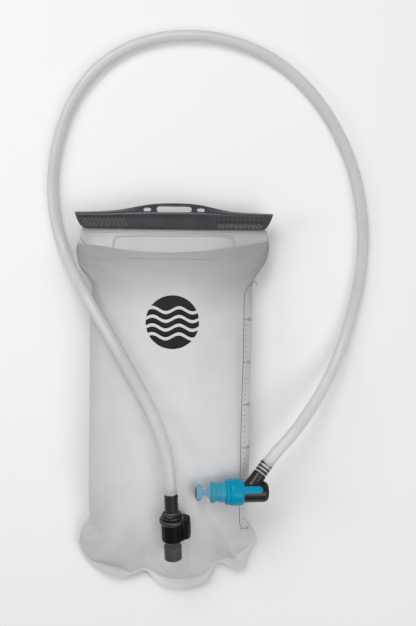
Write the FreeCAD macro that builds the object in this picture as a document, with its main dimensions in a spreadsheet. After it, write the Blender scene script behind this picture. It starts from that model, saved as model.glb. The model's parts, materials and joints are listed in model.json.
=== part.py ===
"""Two-litre hydration bladder with a slide-on closure, a plug-in drink tube and a bite valve.

The bladder lies on its back: X runs along the closure bar, Y from the foot to the bar, Z up.
The origin is on the ground under the middle of the bladder. All sizes are millimetres.
"""
import FreeCAD, Part
import math
import os
import Sketcher

Vector = FreeCAD.Vector
Rotation = FreeCAD.Rotation
Placement = FreeCAD.Placement

DRIVING_SIZES = [
    # bag
    ("film_wall", 0.7, "thickness of one film"),
    ("body_left", -77.0, "left side of the bag's body"),
    ("body_right", 74.0, "right side of the bag's body"),
    ("shoulder_reach", 14.8, "how far each shoulder ear stands out of the body"),
    ("foot_reach", 9.6, "how far each foot ear stands out of the body"),
    ("fill_height", 50.0, "height of the filled bag"),
    ("seam_height", 22.0, "height of the side seams"),
    ("bag_foot_y", -182.0, "lowest point of the foot weld"),
    ("mouth_y", 157.8, "where the films enter the closure lips"),
    ("mouth_half_width", 88.0, "half width of the mouth"),
    ("mouth_seam_height", 23.0, "height of the mouth's parting line"),
    # closure
    ("lip_film_height", 2.45, "thickness of each closure lip"),
    ("lip_bead_height", 1.5, "how far a lip's bead stands up"),
    ("lip_bead_depth", 5.5, "depth of a lip's bead"),
    ("lip_neck_depth", 4.9, "depth of a lip's neck"),
    ("lip_half_length", 86.0, "half length of the lips"),
    ("lip_gap", 0.3, "gap between the two lips"),
    ("slide_clearance", 0.4, "clearance between lips and bar"),
    ("bar_length", 185.6, "length of the closure bar"),
    ("bar_wall", 2.0, "wall of the closure bar"),
    ("bar_end_wall", 2.4, "closed end of the closure bar"),
    ("bar_corner", 9.0, "slant on the bar's lower corners"),
    ("grip_top_y", 182.0, "top of the hanging grip"),
    ("grip_half_width", 30.0, "half width of the grip's top"),
    ("grip_slope", 38.0, "length of the grip's slanted shoulders"),
    ("grip_thickness", 7.0, "thickness of the grip plate"),
    ("grip_slot_length", 33.6, "end-to-end length of the finger slot"),
    ("grip_slot_width", 7.2, "width of the finger slot"),
    ("grip_slot_edge", 2.6, "plate left above the finger slot"),
    ("hang_slot_length", 7.6, "end-to-end length of a hanging hole"),
    ("hang_slot_width", 4.2, "width of a hanging hole"),
    ("hang_slot_spacing", 50.4, "distance between the hanging holes"),
    # port and coupling
    ("port_x", 2.9, "coupling mouth, across"),
    ("port_from_foot", 73.0, "coupling mouth, from the foot weld"),
    ("port_rise", 8.0, "coupling mouth, above the top of the filled bag"),
    ("port_tilt", 16.0, "rise of the coupling, degrees"),
    ("port_yaw", 2.1, "turn of the coupling to the left, degrees"),
    ("coupling_length", 18.2, "length of the coupling's cylinder"),
    ("coupling_radius", 9.75, "radius of the coupling's cylinder"),
    ("coupling_head_radius", 10.7, "radius of the coupling's head"),
    ("coupling_head_top", 3.5, "top of the coupling's head"),
    ("coupling_cone", 5.8, "length of the cone under the cylinder"),
    ("coupling_neck_radius", 3.8, "radius of the neck under the cone"),
    ("coupling_rib_radius", 8.1, "radius of the ribs pressed in the spout"),
    ("coupling_stem", 38.0, "mouth to the lower end of the stem"),
    ("stem_radius", 5.0, "radius of the plug's stem"),
    ("stem_length", 13.0, "length of the plug's stem"),
    ("stem_clearance", 0.3, "clearance around the plug's stem"),
    ("water_bore", 2.2, "radius of the water passages"),
    ("valve_lip_radius", 2.8, "radius of the check valve's seat"),
    ("valve_chamber_radius", 4.6, "radius of the check valve's chamber"),
    ("valve_travel", 2.3, "lift of the check valve"),
    ("collar_radius", 9.1, "radius of the plug's collar"),
    ("collar_height", 4.8, "height of the plug's collar"),
    ("barb_length", 20.6, "length of the plug's barb"),
    ("latch_thickness", 2.6, "thickness of the latch plate"),
    ("latch_half_width", 7.0, "half width of the latch plate"),
    ("latch_travel", 1.2, "travel of the release button"),
    ("button_reach", 16.6, "outer face of the release button"),
    ("button_thickness", 3.9, "thickness of the release button"),
    ("button_half_width", 5.0, "half width of the release button"),
    ("spout_radius", 9.6, "outer radius of the spout"),
    ("spout_length", 21.0, "length of the spout"),
    ("patch_half_width", 20.0, "half width of the welded patch"),
    ("patch_length", 66.0, "length of the welded patch"),
    ("patch_thickness", 1.2, "thickness of the welded patch"),
    ("patch_corner", 7.0, "corner radius of the welded patch"),
    # drink tube
    ("hose_diameter", 11.0, "outside diameter of the drink tube"),
    ("hose_bore", 7.6, "inside diameter of the drink tube"),
    # bite valve
    ("valve_x", 22.1, "tip of the bite valve, across"),
    ("valve_from_foot", 99.6, "tip of the bite valve, from the foot weld"),
    ("valve_rise", 10.5, "tip of the bite valve, above the top of the filled bag"),
    ("valve_pitch", 9.2, "fall of the bite valve towards its rear, degrees"),
    ("valve_roll", -6.0, "roll of the bite valve, degrees"),
    ("mouthpiece_length", 28.7, "length of the soft mouthpiece"),
    ("mouthpiece_radius", 11.4, "largest radius of the soft mouthpiece"),
    ("mouthpiece_wall", 1.6, "wall of the soft mouthpiece"),
    ("barrel_radius", 9.1, "radius of the blue barrel"),
    ("shutoff_radius", 12.2, "radius of the shut-off collar"),
    ("shutoff_length", 16.2, "length of the shut-off collar"),
    ("lever_reach", 15.0, "how far the lever stands behind the collar"),
    ("lever_width", 6.8, "width of the lever"),
    ("lever_thickness", 2.4, "thickness of the lever"),
    ("lever_angle", 12.0, "turn of the lever from the top, degrees"),
    ("elbow_radius", 9.5, "radius of the elbow's body"),
    ("elbow_start", 33.6, "front end of the elbow's body"),
    ("elbow_length", 30.9, "length of the elbow's body"),
    ("branch_place", 49.6, "where the branch meets the body"),
    ("branch_angle", 53.5, "angle between branch and body, degrees"),
    ("branch_radius", 6.0, "radius of the branch"),
    ("branch_length", 20.6, "length of the branch up to the hose"),
    ("branch_barb_length", 9.0, "length of the branch's barb"),
    ("rotor_radius", 6.2, "radius of the shut-off rotor"),
    ("rotor_clearance", 0.3, "clearance around the rotor"),
    ("end_cap_length", 4.4, "length of the end cap"),
]

document = FreeCAD.newDocument("HydrationBladder")
sheet = document.addObject("Spreadsheet::Sheet", "Sizes")
for row, (alias, value, note) in enumerate(DRIVING_SIZES, start=1):
    sheet.set(f"A{row}", note)
    sheet.set(f"B{row}", str(value))
    sheet.setAlias(f"B{row}", alias)
document.recompute()

FULL_TURN = 360.0
RUNNING_GAP = 0.3
WELD_GAP = 0.05


def size(alias):
    """Value of one driving size."""
    return float(sheet.get(alias))


# ---------------------------------------------------------------- helpers

def origin_plane(body, role):
    """Origin plane of a body, found by its role."""
    return next(item for item in body.Origin.OriginFeatures if item.Role == role)


def bind(owner, path, expression):
    """Bind a property to cells of the sheet; a bare name in {} is an alias."""
    owner.setExpression(path, expression.replace("{", "Sizes.").replace("}", ""))


def polygon_sketch(body, role, corners, name="Outline"):
    """Closed outline whose corners are bound to the sheet."""
    sketch = body.newObject("Sketcher::SketchObject", name)
    sketch.AttachmentSupport = [(origin_plane(body, role), "")]
    sketch.MapMode = "FlatFace"
    count = len(corners)
    start = [Vector(60 + 20 * math.cos(math.tau * i / count), 20 * math.sin(math.tau * i / count), 0)
             for i in range(count)]
    sketch.addGeometry([Part.LineSegment(start[i], start[(i + 1) % count]) for i in range(count)], False)
    for i in range(count):
        sketch.addConstraint(Sketcher.Constraint("Coincident", i, 2, (i + 1) % count, 1))
    for i, (across, along) in enumerate(corners):
        number = sketch.addConstraint(Sketcher.Constraint("DistanceX", -1, 1, i, 1, start[i].x))
        bind(sketch, f"Constraints[{number}]", across)
        number = sketch.addConstraint(Sketcher.Constraint("DistanceY", -1, 1, i, 1, start[i].y))
        bind(sketch, f"Constraints[{number}]", along)
    document.recompute()
    return sketch


def turned(label, corners):
    """Body turned about its own Z axis from (radius, height) corners."""
    body = document.addObject("PartDesign::Body", label)
    body.Label = label
    sketch = polygon_sketch(body, "XZ_Plane", corners)
    turn = body.newObject("PartDesign::Revolution", "Turn")
    turn.Profile = sketch
    turn.ReferenceAxis = (sketch, ["V_Axis"])
    turn.Angle = FULL_TURN
    document.recompute()
    return body


def padded(label, role, corners, length, midplane=True):
    """Body padded from an outline on one of its origin planes."""
    body = document.addObject("PartDesign::Body", label)
    body.Label = label
    sketch = polygon_sketch(body, role, corners)
    pad = body.newObject("PartDesign::Pad", "Pad")
    pad.Profile = sketch
    pad.SideType = "Symmetric" if midplane else "One side"
    bind(pad, "Length", length)
    document.recompute()
    return body


def shaped(label, shape, place=Placement()):
    """Plain shape object for a piece that no feature describes."""
    feature = document.addObject("Part::Feature", label)
    feature.Label = label
    feature.Shape = shape
    feature.Placement = place
    return feature


def tube_solid(outer, inner, low, high):
    """Straight tube along Z."""
    solid = Part.makeCylinder(outer, high - low, Vector(0, 0, low))
    return solid.cut(Part.makeCylinder(inner, high - low + 2, Vector(0, 0, low - 1)))


def ring_solid(centre_radius, wire_radius, height):
    """Rubber ring about Z."""
    return Part.makeTorus(centre_radius, wire_radius, Vector(0, 0, height))


def rounded_path(points):
    """Straight runs joined by tangent arcs, and the arcs' radii."""
    edges = []
    radii = []
    start = points[0]
    for before, corner, after in zip(points, points[1:], points[2:]):
        run_in = corner - before
        run_out = after - corner
        turn = run_in.getAngle(run_out)
        trim = 0.45 * min(run_in.Length, run_out.Length)
        towards = Vector(run_in).normalize()
        away = Vector(run_out).normalize()
        arc_start = corner - towards * trim
        arc_end = corner + away * trim
        radius = trim / math.tan(turn / 2)
        inside = (away - towards).normalize()
        middle = corner + inside * (radius / math.cos(turn / 2) - radius)
        edges.append(Part.LineSegment(start, arc_start).toShape())
        edges.append(Part.Arc(arc_start, middle, arc_end).toShape())
        radii.append(radius)
        start = arc_end
    edges.append(Part.LineSegment(start, points[-1]).toShape())
    return Part.Wire(edges), radii


def coil_spring(radius, wire_radius, length, turns):
    """Compression spring along Z, starting at the origin."""
    corners_per_turn = 8
    count = round(turns * corners_per_turn)
    rise = (length - 2 * wire_radius) / count
    reach = radius / math.cos(math.pi / corners_per_turn)
    points = [Vector(reach * math.cos(math.tau * step / corners_per_turn),
                     reach * math.sin(math.tau * step / corners_per_turn),
                     wire_radius + rise * step) for step in range(count + 1)]
    path, radii = rounded_path(points)
    section = Part.Wire(Part.makeCircle(wire_radius, points[0], points[1] - points[0]))
    return path.makePipeShell([section], True, False)


# ---------------------------------------------------------------- bag

def superellipse_half(left, right, seam, height, power, count=16):
    """Points of a half section from the right seam over to the left seam."""
    centre = (left + right) / 2
    half = (right - left) / 2
    points = []
    for step in range(count + 1):
        angle = math.pi * step / count
        across = math.cos(angle)
        reach = math.copysign(abs(across) ** (2 / power), across)
        rise = max(math.sin(angle), 0.0) ** (2 / power)
        points.append((centre + half * reach, seam + height * rise))
    return points


def spline_edge(points, along):
    """Smooth edge through section points at one place along the bag."""
    curve = Part.BSplineCurve()
    curve.interpolate([Vector(across, along, up) for across, up in points])
    return curve.toShape()


def line_edge(start, end, along):
    """Straight edge between two section points."""
    return Part.makeLine(Vector(start[0], along, start[1]), Vector(end[0], along, end[1]))


def bag_stations():
    """Sections of the filled bag: along, left, right, top, underside, seam."""
    left = size("body_left")
    right = size("body_right")
    foot = size("bag_foot_y")
    top = size("fill_height")
    seam = size("seam_height")
    ear = size("foot_reach")
    shoulder = size("shoulder_reach")
    mouth = size("mouth_y")
    mouth_half = size("mouth_half_width")
    mouth_seam = size("mouth_seam_height")
    mouth_lip = size("lip_film_height")
    half_gap = size("lip_gap") / 2
    weld = 8.0
    return [
        (foot, -12, 30, weld + 0.9, weld - 0.9, weld),
        (foot + 4, -34, 38, weld + 0.9, weld - 0.9, weld),
        (foot + 8, -56, 48, weld + 1.2, weld - 1.2, weld),
        (foot + 13, left + 9, right - 16, 14.5, 4.5, 8.6),
        (foot + 20, left, right - 4, top - 28, 1.2, 10),
        (foot + 30, left - 0.8 * ear, right + 0.6 * ear, top - 18.5, 0, 12.5),
        (foot + 40, left - ear, right + 0.9 * ear, top - 12.5, 0, 15.5),
        (foot + 50, left - 0.8 * ear, right + 0.9 * ear, top - 8.7, 0, 18),
        (foot + 59, left - 0.3 * ear, right + 0.35 * ear, top - 6.2, 0, seam - 2),
        (foot + 68, left + 0.5, right - 1.5, top - 4.2, 0, seam - 0.5),
        (foot + 82, left, right - 1.5, top - 2.5, 0, seam),
        (-50, left, right - 1, top - 0.7, 0, seam),
        (0, left, right, top, 0, seam),
        (mouth - 108, left, right + 0.7, top - 0.8, 0, seam),
        (mouth - 76, left, right + 1, top - 3.5, 0, seam),
        (mouth - 54, left, right + 1.4, top - 8, 0, seam - 1),
        (mouth - 44, left - 0.12 * shoulder, right + 0.2 * shoulder, top - 11.5, 1, seam - 2),
        (mouth - 33, left - 0.6 * shoulder, right + 0.68 * shoulder, top - 15.5, 4, seam - 2.5),
        (mouth - 22, left - shoulder, right + shoulder, top - 20, 9.5, seam - 2.5),
        (mouth - 10, left - 0.92 * shoulder, right + 0.96 * shoulder, top - 22.8, 16.5, seam - 0.5),
        (mouth, -mouth_half, mouth_half, mouth_seam + mouth_lip + half_gap,
         mouth_seam - mouth_lip - half_gap, mouth_seam),
    ]


TOP_POWER = 2.3
UNDER_POWER = 3.2
FLAT_SHARE = 0.5
REST_CUT = 0.05


def top_wire(station, outer_gap, inner_gap):
    """Closed section of a layer over the bag, between two offsets from the film's outside."""
    along, left, right, top, under, seam = station
    outer = superellipse_half(left - outer_gap, right + outer_gap, seam, top - seam + outer_gap, TOP_POWER)
    inner = superellipse_half(left - inner_gap, right + inner_gap, seam, top - seam + inner_gap, TOP_POWER)
    return Part.Wire([
        spline_edge(outer, along),
        line_edge(outer[-1], inner[-1], along),
        spline_edge(inner[::-1], along),
        line_edge(inner[0], outer[0], along),
    ])


def filled_top_wire(station, gap):
    """Closed section of everything between the seam plane and an offset over the top film."""
    along, left, right, top, under, seam = station
    outer = superellipse_half(left - gap, right + gap, seam, top - seam + gap, TOP_POWER)
    floor = seam - 0.3 * (top - seam) - 4
    return Part.Wire([
        spline_edge(outer, along),
        line_edge(outer[-1], (outer[-1][0], floor), along),
        line_edge((outer[-1][0], floor), (outer[0][0], floor), along),
        line_edge((outer[0][0], floor), outer[0], along),
    ])


def under_points(station, gap):
    """Right curve and left curve of the underside, which is flat between them."""
    along, left, right, top, under, seam = station
    centre = (left + right) / 2
    flat = FLAT_SHARE * (right - left) / 2
    curves = []
    for side, edge in ((1, right + gap), (-1, left - gap)):
        reach = abs(edge - centre) - flat
        depth = seam - under + gap
        points = []
        for step in range(9):
            angle = math.pi / 2 * step / 8
            across = flat + reach * max(math.cos(angle), 0.0) ** (2 / UNDER_POWER)
            up = seam - depth * math.sin(angle) ** (2 / UNDER_POWER)
            points.append((centre + side * across, up))
        curves.append(points)
    return curves


def under_wire(station, wall):
    """Closed section of the back film."""
    along, left, right = station[:3]
    outer_right, outer_left = under_points(station, 0.0)
    inner_right, inner_left = under_points(station, -wall)
    return Part.Wire([
        spline_edge(outer_right, along),
        line_edge(outer_right[-1], outer_left[-1], along),
        spline_edge(outer_left[::-1], along),
        line_edge(outer_left[0], inner_left[0], along),
        spline_edge(inner_left, along),
        line_edge(inner_left[-1], inner_right[-1], along),
        spline_edge(inner_right[::-1], along),
        line_edge(inner_right[0], outer_right[0], along),
    ])


def port_placement():
    """Frame of the coupling: Z along the plug's way out, X to the right."""
    along = size("bag_foot_y") + size("port_from_foot")
    base = Vector(size("port_x"), along, size("fill_height") + size("port_rise"))
    lean = Rotation(Vector(1, 0, 0), size("port_tilt") - 90)
    yaw = Rotation(Vector(0, 0, 1), size("port_yaw"))
    return Placement(base, yaw.multiply(lean))


def make_bag():
    """Front and back films, welded along the seam plane and at the foot."""
    wall = size("film_wall")
    stations = bag_stations()
    front = Part.makeLoft([top_wire(station, 0.0, -wall) for station in stations], True, True)
    port = port_placement()
    passage = port.multVec(Vector(0, 0, -size("coupling_stem") - 2))
    drill = Part.makeCylinder(5.0, passage.z, Vector(passage.x, passage.y, size("seam_height") - 4))
    shaped("bag_front_panel", front.cut(drill))
    lowered = [(*station[:4], station[4] - REST_CUT, station[5]) for station in stations]
    back = Part.makeLoft([under_wire(station, wall) for station in lowered], True, True)
    below = Part.makeBox(400, 600, 10, Vector(-200, -300, -10))
    shaped("bag_back_panel", back.cut(below))


def make_port_base():
    """Welded patch that follows the film, with the clear spout on its pedestal."""
    port = port_placement()
    patch_top = port.Base.y + 5.5
    patch_foot = patch_top - size("patch_length")
    half = size("patch_half_width")
    corner = size("patch_corner")
    centre_x = 0.0
    stations = [s for s in bag_stations() if s[0] < patch_top + 40]
    layer = Part.makeLoft(
        [top_wire(s, WELD_GAP + size("patch_thickness"), WELD_GAP) for s in stations], True, True)
    prism = Part.makeBox(2 * half, patch_top - patch_foot, 60, Vector(centre_x - half, patch_foot, 0))
    upright = [edge for edge in prism.Edges
               if abs(edge.Vertexes[0].Point.z - edge.Vertexes[-1].Point.z) > 1]
    patch = layer.common(prism.makeFillet(corner, upright))
    spout_low = -size("coupling_stem") - 6
    spout = Part.makeCylinder(size("spout_radius"), size("spout_length"), Vector(0, 0, spout_low))
    spout.Placement = port
    foot = port.multVec(Vector(0, 0, spout_low + 0.5 * size("spout_length")))
    pedestal = Part.makeBox(13, size("spout_length") - 2, foot.z - 20,
                            Vector(foot.x - 6.5, foot.y - 0.5 * size("spout_length") + 1, 20))
    core = Part.makeLoft([filled_top_wire(s, WELD_GAP) for s in stations], True, True)
    bore = Part.makeCylinder(size("coupling_rib_radius"), size("spout_length"),
                             Vector(0, 0, spout_low + 2))
    bore.Placement = port
    passage = port.multVec(Vector(0, 0, -size("coupling_stem") - 2))
    drill = Part.makeCylinder(4.5, passage.z, Vector(passage.x, passage.y, 0))
    room = Part.makeCylinder(size("coupling_head_radius") + RUNNING_GAP,
                             size("coupling_length") + 20, Vector(0, 0, -size("coupling_length") - 1))
    room.Placement = port
    solid = spout.fuse(pedestal).cut(core).fuse(patch).cut(bore).cut(drill).cut(room)
    shaped("port_base", solid.removeSplitter())


# ---------------------------------------------------------------- closure

def make_lips():
    """Stiff lips on the two films, which the closure bar slides over."""
    for name, side in (("closure_lip_front", "1"), ("closure_lip_back", "-1")):
        start = "{mouth_y}"
        neck = "{mouth_y} + {lip_neck_depth}"
        end = "{mouth_y} + {lip_neck_depth} + {lip_bead_depth}"
        parting = "{mouth_seam_height} + " + side + " * {lip_gap} / 2"
        face = "{mouth_seam_height} + " + side + " * ({lip_gap} / 2 + {lip_film_height})"
        bead = ("{mouth_seam_height} + " + side
                + " * ({lip_gap} / 2 + {lip_film_height} + {lip_bead_height})")
        corners = [(start, parting), (end, parting), (end, bead), (neck, bead), (neck, face), (start, face)]
        padded(name, "YZ_Plane", corners, "2 * {lip_half_length}")


def make_closure_bar():
    """C-shaped bar with a hanging grip, closed at its right end."""
    slot_half = "({lip_gap} / 2 + {lip_film_height} + {slide_clearance})"
    room_half = "({lip_gap} / 2 + {lip_film_height} + {lip_bead_height} + {slide_clearance})"
    outer_half = room_half[:-1] + " + {bar_wall})"
    middle = "{mouth_seam_height}"
    low = "{mouth_y} + {slide_clearance}"
    room_low = "{mouth_y} + {lip_neck_depth} - {slide_clearance}"
    room_top = "{mouth_y} + {lip_neck_depth} + {lip_bead_depth} + {slide_clearance}"
    top = room_top + " + {bar_wall}"
    edge = "1.6"
    outline = [
        (f"{low} + {edge}", f"{middle} - {outer_half}"),
        (f"{top} - {edge}", f"{middle} - {outer_half}"),
        (top, f"{middle} - {outer_half} + {edge}"),
        (top, f"{middle} + {outer_half} - {edge}"),
        (f"{top} - {edge}", f"{middle} + {outer_half}"),
        (f"{low} + {edge}", f"{middle} + {outer_half}"),
        (low, f"{middle} + {outer_half} - {edge}"),
        (low, f"{middle} - {outer_half} + {edge}"),
    ]
    body = padded("slide_seal_bar", "YZ_Plane", outline, "{bar_length}")
    plate = polygon_sketch(body, "XY_Plane", [
        ("-{grip_half_width} - {grip_slope}", f"{top} - 3"),
        ("{grip_half_width} + {grip_slope}", f"{top} - 3"),
        ("{grip_half_width} + {grip_slope}", f"{top} - 0.5"),
        ("{grip_half_width} + 0.6 * {grip_slope}", f"{top} + 1"),
        ("{grip_half_width} + 0.2 * {grip_slope}", "{grip_top_y} - 1.6"),
        ("{grip_half_width} - 4", "{grip_top_y}"),
        ("-{grip_half_width} + 4", "{grip_top_y}"),
        ("-{grip_half_width} - 0.2 * {grip_slope}", "{grip_top_y} - 1.6"),
        ("-{grip_half_width} - 0.6 * {grip_slope}", f"{top} + 1"),
        ("-{grip_half_width} - {grip_slope}", f"{top} - 0.5"),
    ], "GripOutline")
    bind(plate, "AttachmentOffset.Base.z", middle)
    grip = body.newObject("PartDesign::Pad", "Grip")
    grip.Profile = plate
    grip.SideType = "Symmetric"
    bind(grip, "Length", "{grip_thickness}")
    document.recompute()
    half_room = "({bar_length} / 2 + 5)"
    stop = "{bar_length} / 2 - {bar_end_wall}"
    for name, near, far, half in (("Slot", f"{low} - 2", room_top, slot_half),
                                  ("Room", room_low, room_top, room_half)):
        channel = polygon_sketch(body, "XY_Plane", [
            (f"-{half_room}", near), (stop, near), (stop, far), (f"-{half_room}", far)], name + "Outline")
        bind(channel, "AttachmentOffset.Base.z", middle)
        pocket = body.newObject("PartDesign::Pocket", name)
        pocket.Profile = channel
        pocket.SideType = "Symmetric"
        bind(pocket, "Length", f"2 * {half}")
        document.recompute()
    corners = polygon_sketch(body, "XY_Plane", [
        ("-{bar_length} / 2 - 2", f"{low} - 2"),
        ("{bar_length} / 2 + 2", f"{low} - 2"),
        ("{bar_length} / 2 + 2", f"{top} - 5"),
        ("{bar_length} / 2", f"{top} - 5"),
        ("{bar_length} / 2 - {bar_corner}", low),
        ("-{bar_length} / 2 + {bar_corner}", low),
        ("-{bar_length} / 2", f"{top} - 5"),
        ("-{bar_length} / 2 - 2", f"{top} - 5"),
    ], "CornerOutline")
    slant = body.newObject("PartDesign::Pocket", "Corners")
    slant.Profile = corners
    slant.SideType = "Symmetric"
    slant.Length = 200
    document.recompute()
    make_grip_holes(body)


def make_grip_holes(body):
    """Finger slot and the two slotted hanging holes through the grip."""
    sketch = body.newObject("Sketcher::SketchObject", "GripHoles")
    sketch.AttachmentSupport = [(origin_plane(body, "XY_Plane"), "")]
    sketch.MapMode = "FlatFace"
    centre_y = size("grip_top_y") - size("grip_slot_edge") - size("grip_slot_width") / 2
    half_spacing = size("hang_slot_spacing") / 2
    slots = [
        (0.0, "grip_slot_length", "grip_slot_width"),
        (-half_spacing, "hang_slot_length", "hang_slot_width"),
        (half_spacing, "hang_slot_length", "hang_slot_width"),
    ]
    for centre_x, length, width in slots:
        radius = size(width) / 2
        reach = size(length) / 2 - radius
        left = Vector(centre_x - reach, centre_y, 0)
        right = Vector(centre_x + reach, centre_y, 0)
        up = Vector(0, radius, 0)
        normal = Vector(0, 0, 1)
        sketch.addGeometry([
            Part.LineSegment(left + up, right + up),
            Part.LineSegment(left - up, right - up),
            Part.ArcOfCircle(Part.Circle(left, normal, radius), math.pi / 2, 1.5 * math.pi),
            Part.ArcOfCircle(Part.Circle(right, normal, radius), 1.5 * math.pi, 2.5 * math.pi),
        ], False)
    document.recompute()
    holes = body.newObject("PartDesign::Pocket", "Holes")
    holes.Profile = sketch
    holes.SideType = "Symmetric"
    holes.Length = 200
    document.recompute()


# ---------------------------------------------------------------- coupling

def make_receptacle():
    """Black coupling half on the bag: head, cylinder, cone and ribbed stem."""
    bore = "{stem_radius} + {stem_clearance}"
    floor = "-{stem_length} - 0.5"
    seat = "-{stem_length} - 1.5"
    chamber = "-{coupling_length} - 3.8"
    head = "{coupling_head_top}"
    corners = [
        ("{water_bore}", "-{coupling_stem}"),
        ("{coupling_neck_radius}", "-{coupling_stem}"),
    ]
    for rib in range(4):
        low = f"-{{coupling_stem}} + {1.0 + 2.8 * rib}"
        high = f"-{{coupling_stem}} + {2.6 + 2.8 * rib}"
        corners += [("{coupling_neck_radius}", low), ("{coupling_rib_radius}", low),
                    ("{coupling_rib_radius} - 0.5", high), ("{coupling_neck_radius}", high)]
    corners += [
        ("{coupling_neck_radius}", "-{coupling_length} - {coupling_cone}"),
        ("{coupling_neck_radius} + 1.6", "-{coupling_length} - {coupling_cone}"),
        ("{coupling_radius} - 0.8", "-{coupling_length}"),
        ("{coupling_radius}", "-{coupling_length} + 0.8"),
        ("{coupling_radius}", "-1"),
        ("{coupling_head_radius}", "-0.4"),
        ("{coupling_head_radius}", f"{head} - 0.5"),
        ("{coupling_head_radius} - 0.5", head),
        (bore, head),
        (bore, floor),
        ("{valve_lip_radius}", floor),
        ("{valve_lip_radius}", seat),
        ("{valve_chamber_radius}", seat),
        ("{valve_chamber_radius}", chamber),
        ("{water_bore}", chamber),
    ]
    body = turned("receptacle_housing", corners)
    window = polygon_sketch(body, "XY_Plane", [
        ("-{coupling_head_radius} + 1.7", "-{latch_half_width} - 0.2"),
        ("{coupling_head_radius} + 5", "-{latch_half_width} - 0.2"),
        ("{coupling_head_radius} + 5", "{latch_half_width} + 0.2"),
        ("-{coupling_head_radius} + 1.7", "{latch_half_width} + 0.2"),
    ], "WindowOutline")
    bind(window, "AttachmentOffset.Base.z", "{latch_thickness} / 2 + 0.2")
    slot = body.newObject("PartDesign::Pocket", "LatchWindow")
    slot.Profile = window
    slot.SideType = "Symmetric"
    bind(slot, "Length", "{latch_thickness} + 0.2")
    document.recompute()
    body.Placement = port_placement()


def make_latch():
    """Spring-loaded latch plate and the thumb button pressed on its tab."""
    port = port_placement()
    travel = size("latch_travel")
    half = size("latch_half_width")
    thickness = size("latch_thickness")
    inner_face = size("button_reach") - size("button_thickness")
    left_end = -size("coupling_head_radius") + 1.7 + travel + 0.9
    plate = Part.makeBox(inner_face + 2 - left_end, 2 * half, thickness, Vector(left_end, -half, 0.2))
    hole_radius = size("stem_radius") + size("stem_clearance")
    for shift in (0.0, travel):
        hole = Part.makeCylinder(hole_radius, thickness + 2, Vector(shift, 0, -1))
        plate = plate.cut(hole)
    between = Part.makeBox(travel, 2 * hole_radius, thickness + 2, Vector(0, -hole_radius, -1))
    plate = plate.cut(between)
    shaped("latch_plate", plate, port)

    width = size("button_half_width")
    low = -size("coupling_length") + 2.6
    high = size("coupling_head_top")
    outline = [
        Vector(inner_face, 0, low + 1.5), Vector(inner_face + 2.0, 0, low),
        Vector(size("button_reach"), 0, low + 2.5), Vector(size("button_reach"), 0, high - 2.0),
        Vector(size("button_reach") - 1.4, 0, high), Vector(inner_face, 0, high),
    ]
    face = Part.Face(Part.makePolygon(outline + outline[:1]))
    button = face.extrude(Vector(0, 2 * width, 0))
    button.translate(Vector(0, -width, 0))
    button = button.cut(plate)
    shaped("thumb_button", button, port)

    spring = coil_spring(0.9, 0.18, 2.0, 3.5)
    spring.Placement = Placement(Vector(left_end - 2.05, 0, 0.2 + thickness / 2),
                                 Rotation(Vector(0, 1, 0), 90))
    shaped("latch_spring", spring.copy(), Placement())
    document.getObject("latch_spring").Placement = port.multiply(spring.Placement)


def make_check_valve():
    """Spring-loaded poppet that closes the bag when the plug is out, with its rubber face."""
    port = port_placement()
    travel = "{valve_travel}"
    seat = "-{stem_length} - 1.5"
    face = f"{seat} - {travel} - 0.8"
    poppet = turned("check_valve_poppet", [
        ("0", f"{face} - 1"),
        ("3.8", f"{face} - 1"),
        ("3.8", face),
        ("1.0", face),
        ("1.0", "-{stem_length} - 0.7"),
        ("{water_bore} + 0.3", "-{stem_length} - 0.55"),
        ("{water_bore} + 0.3", "-{stem_length} - 0.15"),
        ("0", "-{stem_length} - 0.15"),
    ])
    poppet.Placement = port
    seal = turned("poppet_seal", [
        ("1.0", face), ("3.7", face), ("3.7", f"{face} + 0.7"), ("1.0", f"{face} + 0.7")])
    seal.Placement = port
    low = -size("coupling_length") - 3.8
    high = -size("stem_length") - 1.5 - size("valve_travel") - 0.8 - 1
    spring = coil_spring(3.2, 0.3, high - low - 0.04, 2.0)
    place = Placement(Vector(0, 0, low + 0.02), Rotation())
    shaped("check_valve_spring", spring, port.multiply(place))


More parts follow.
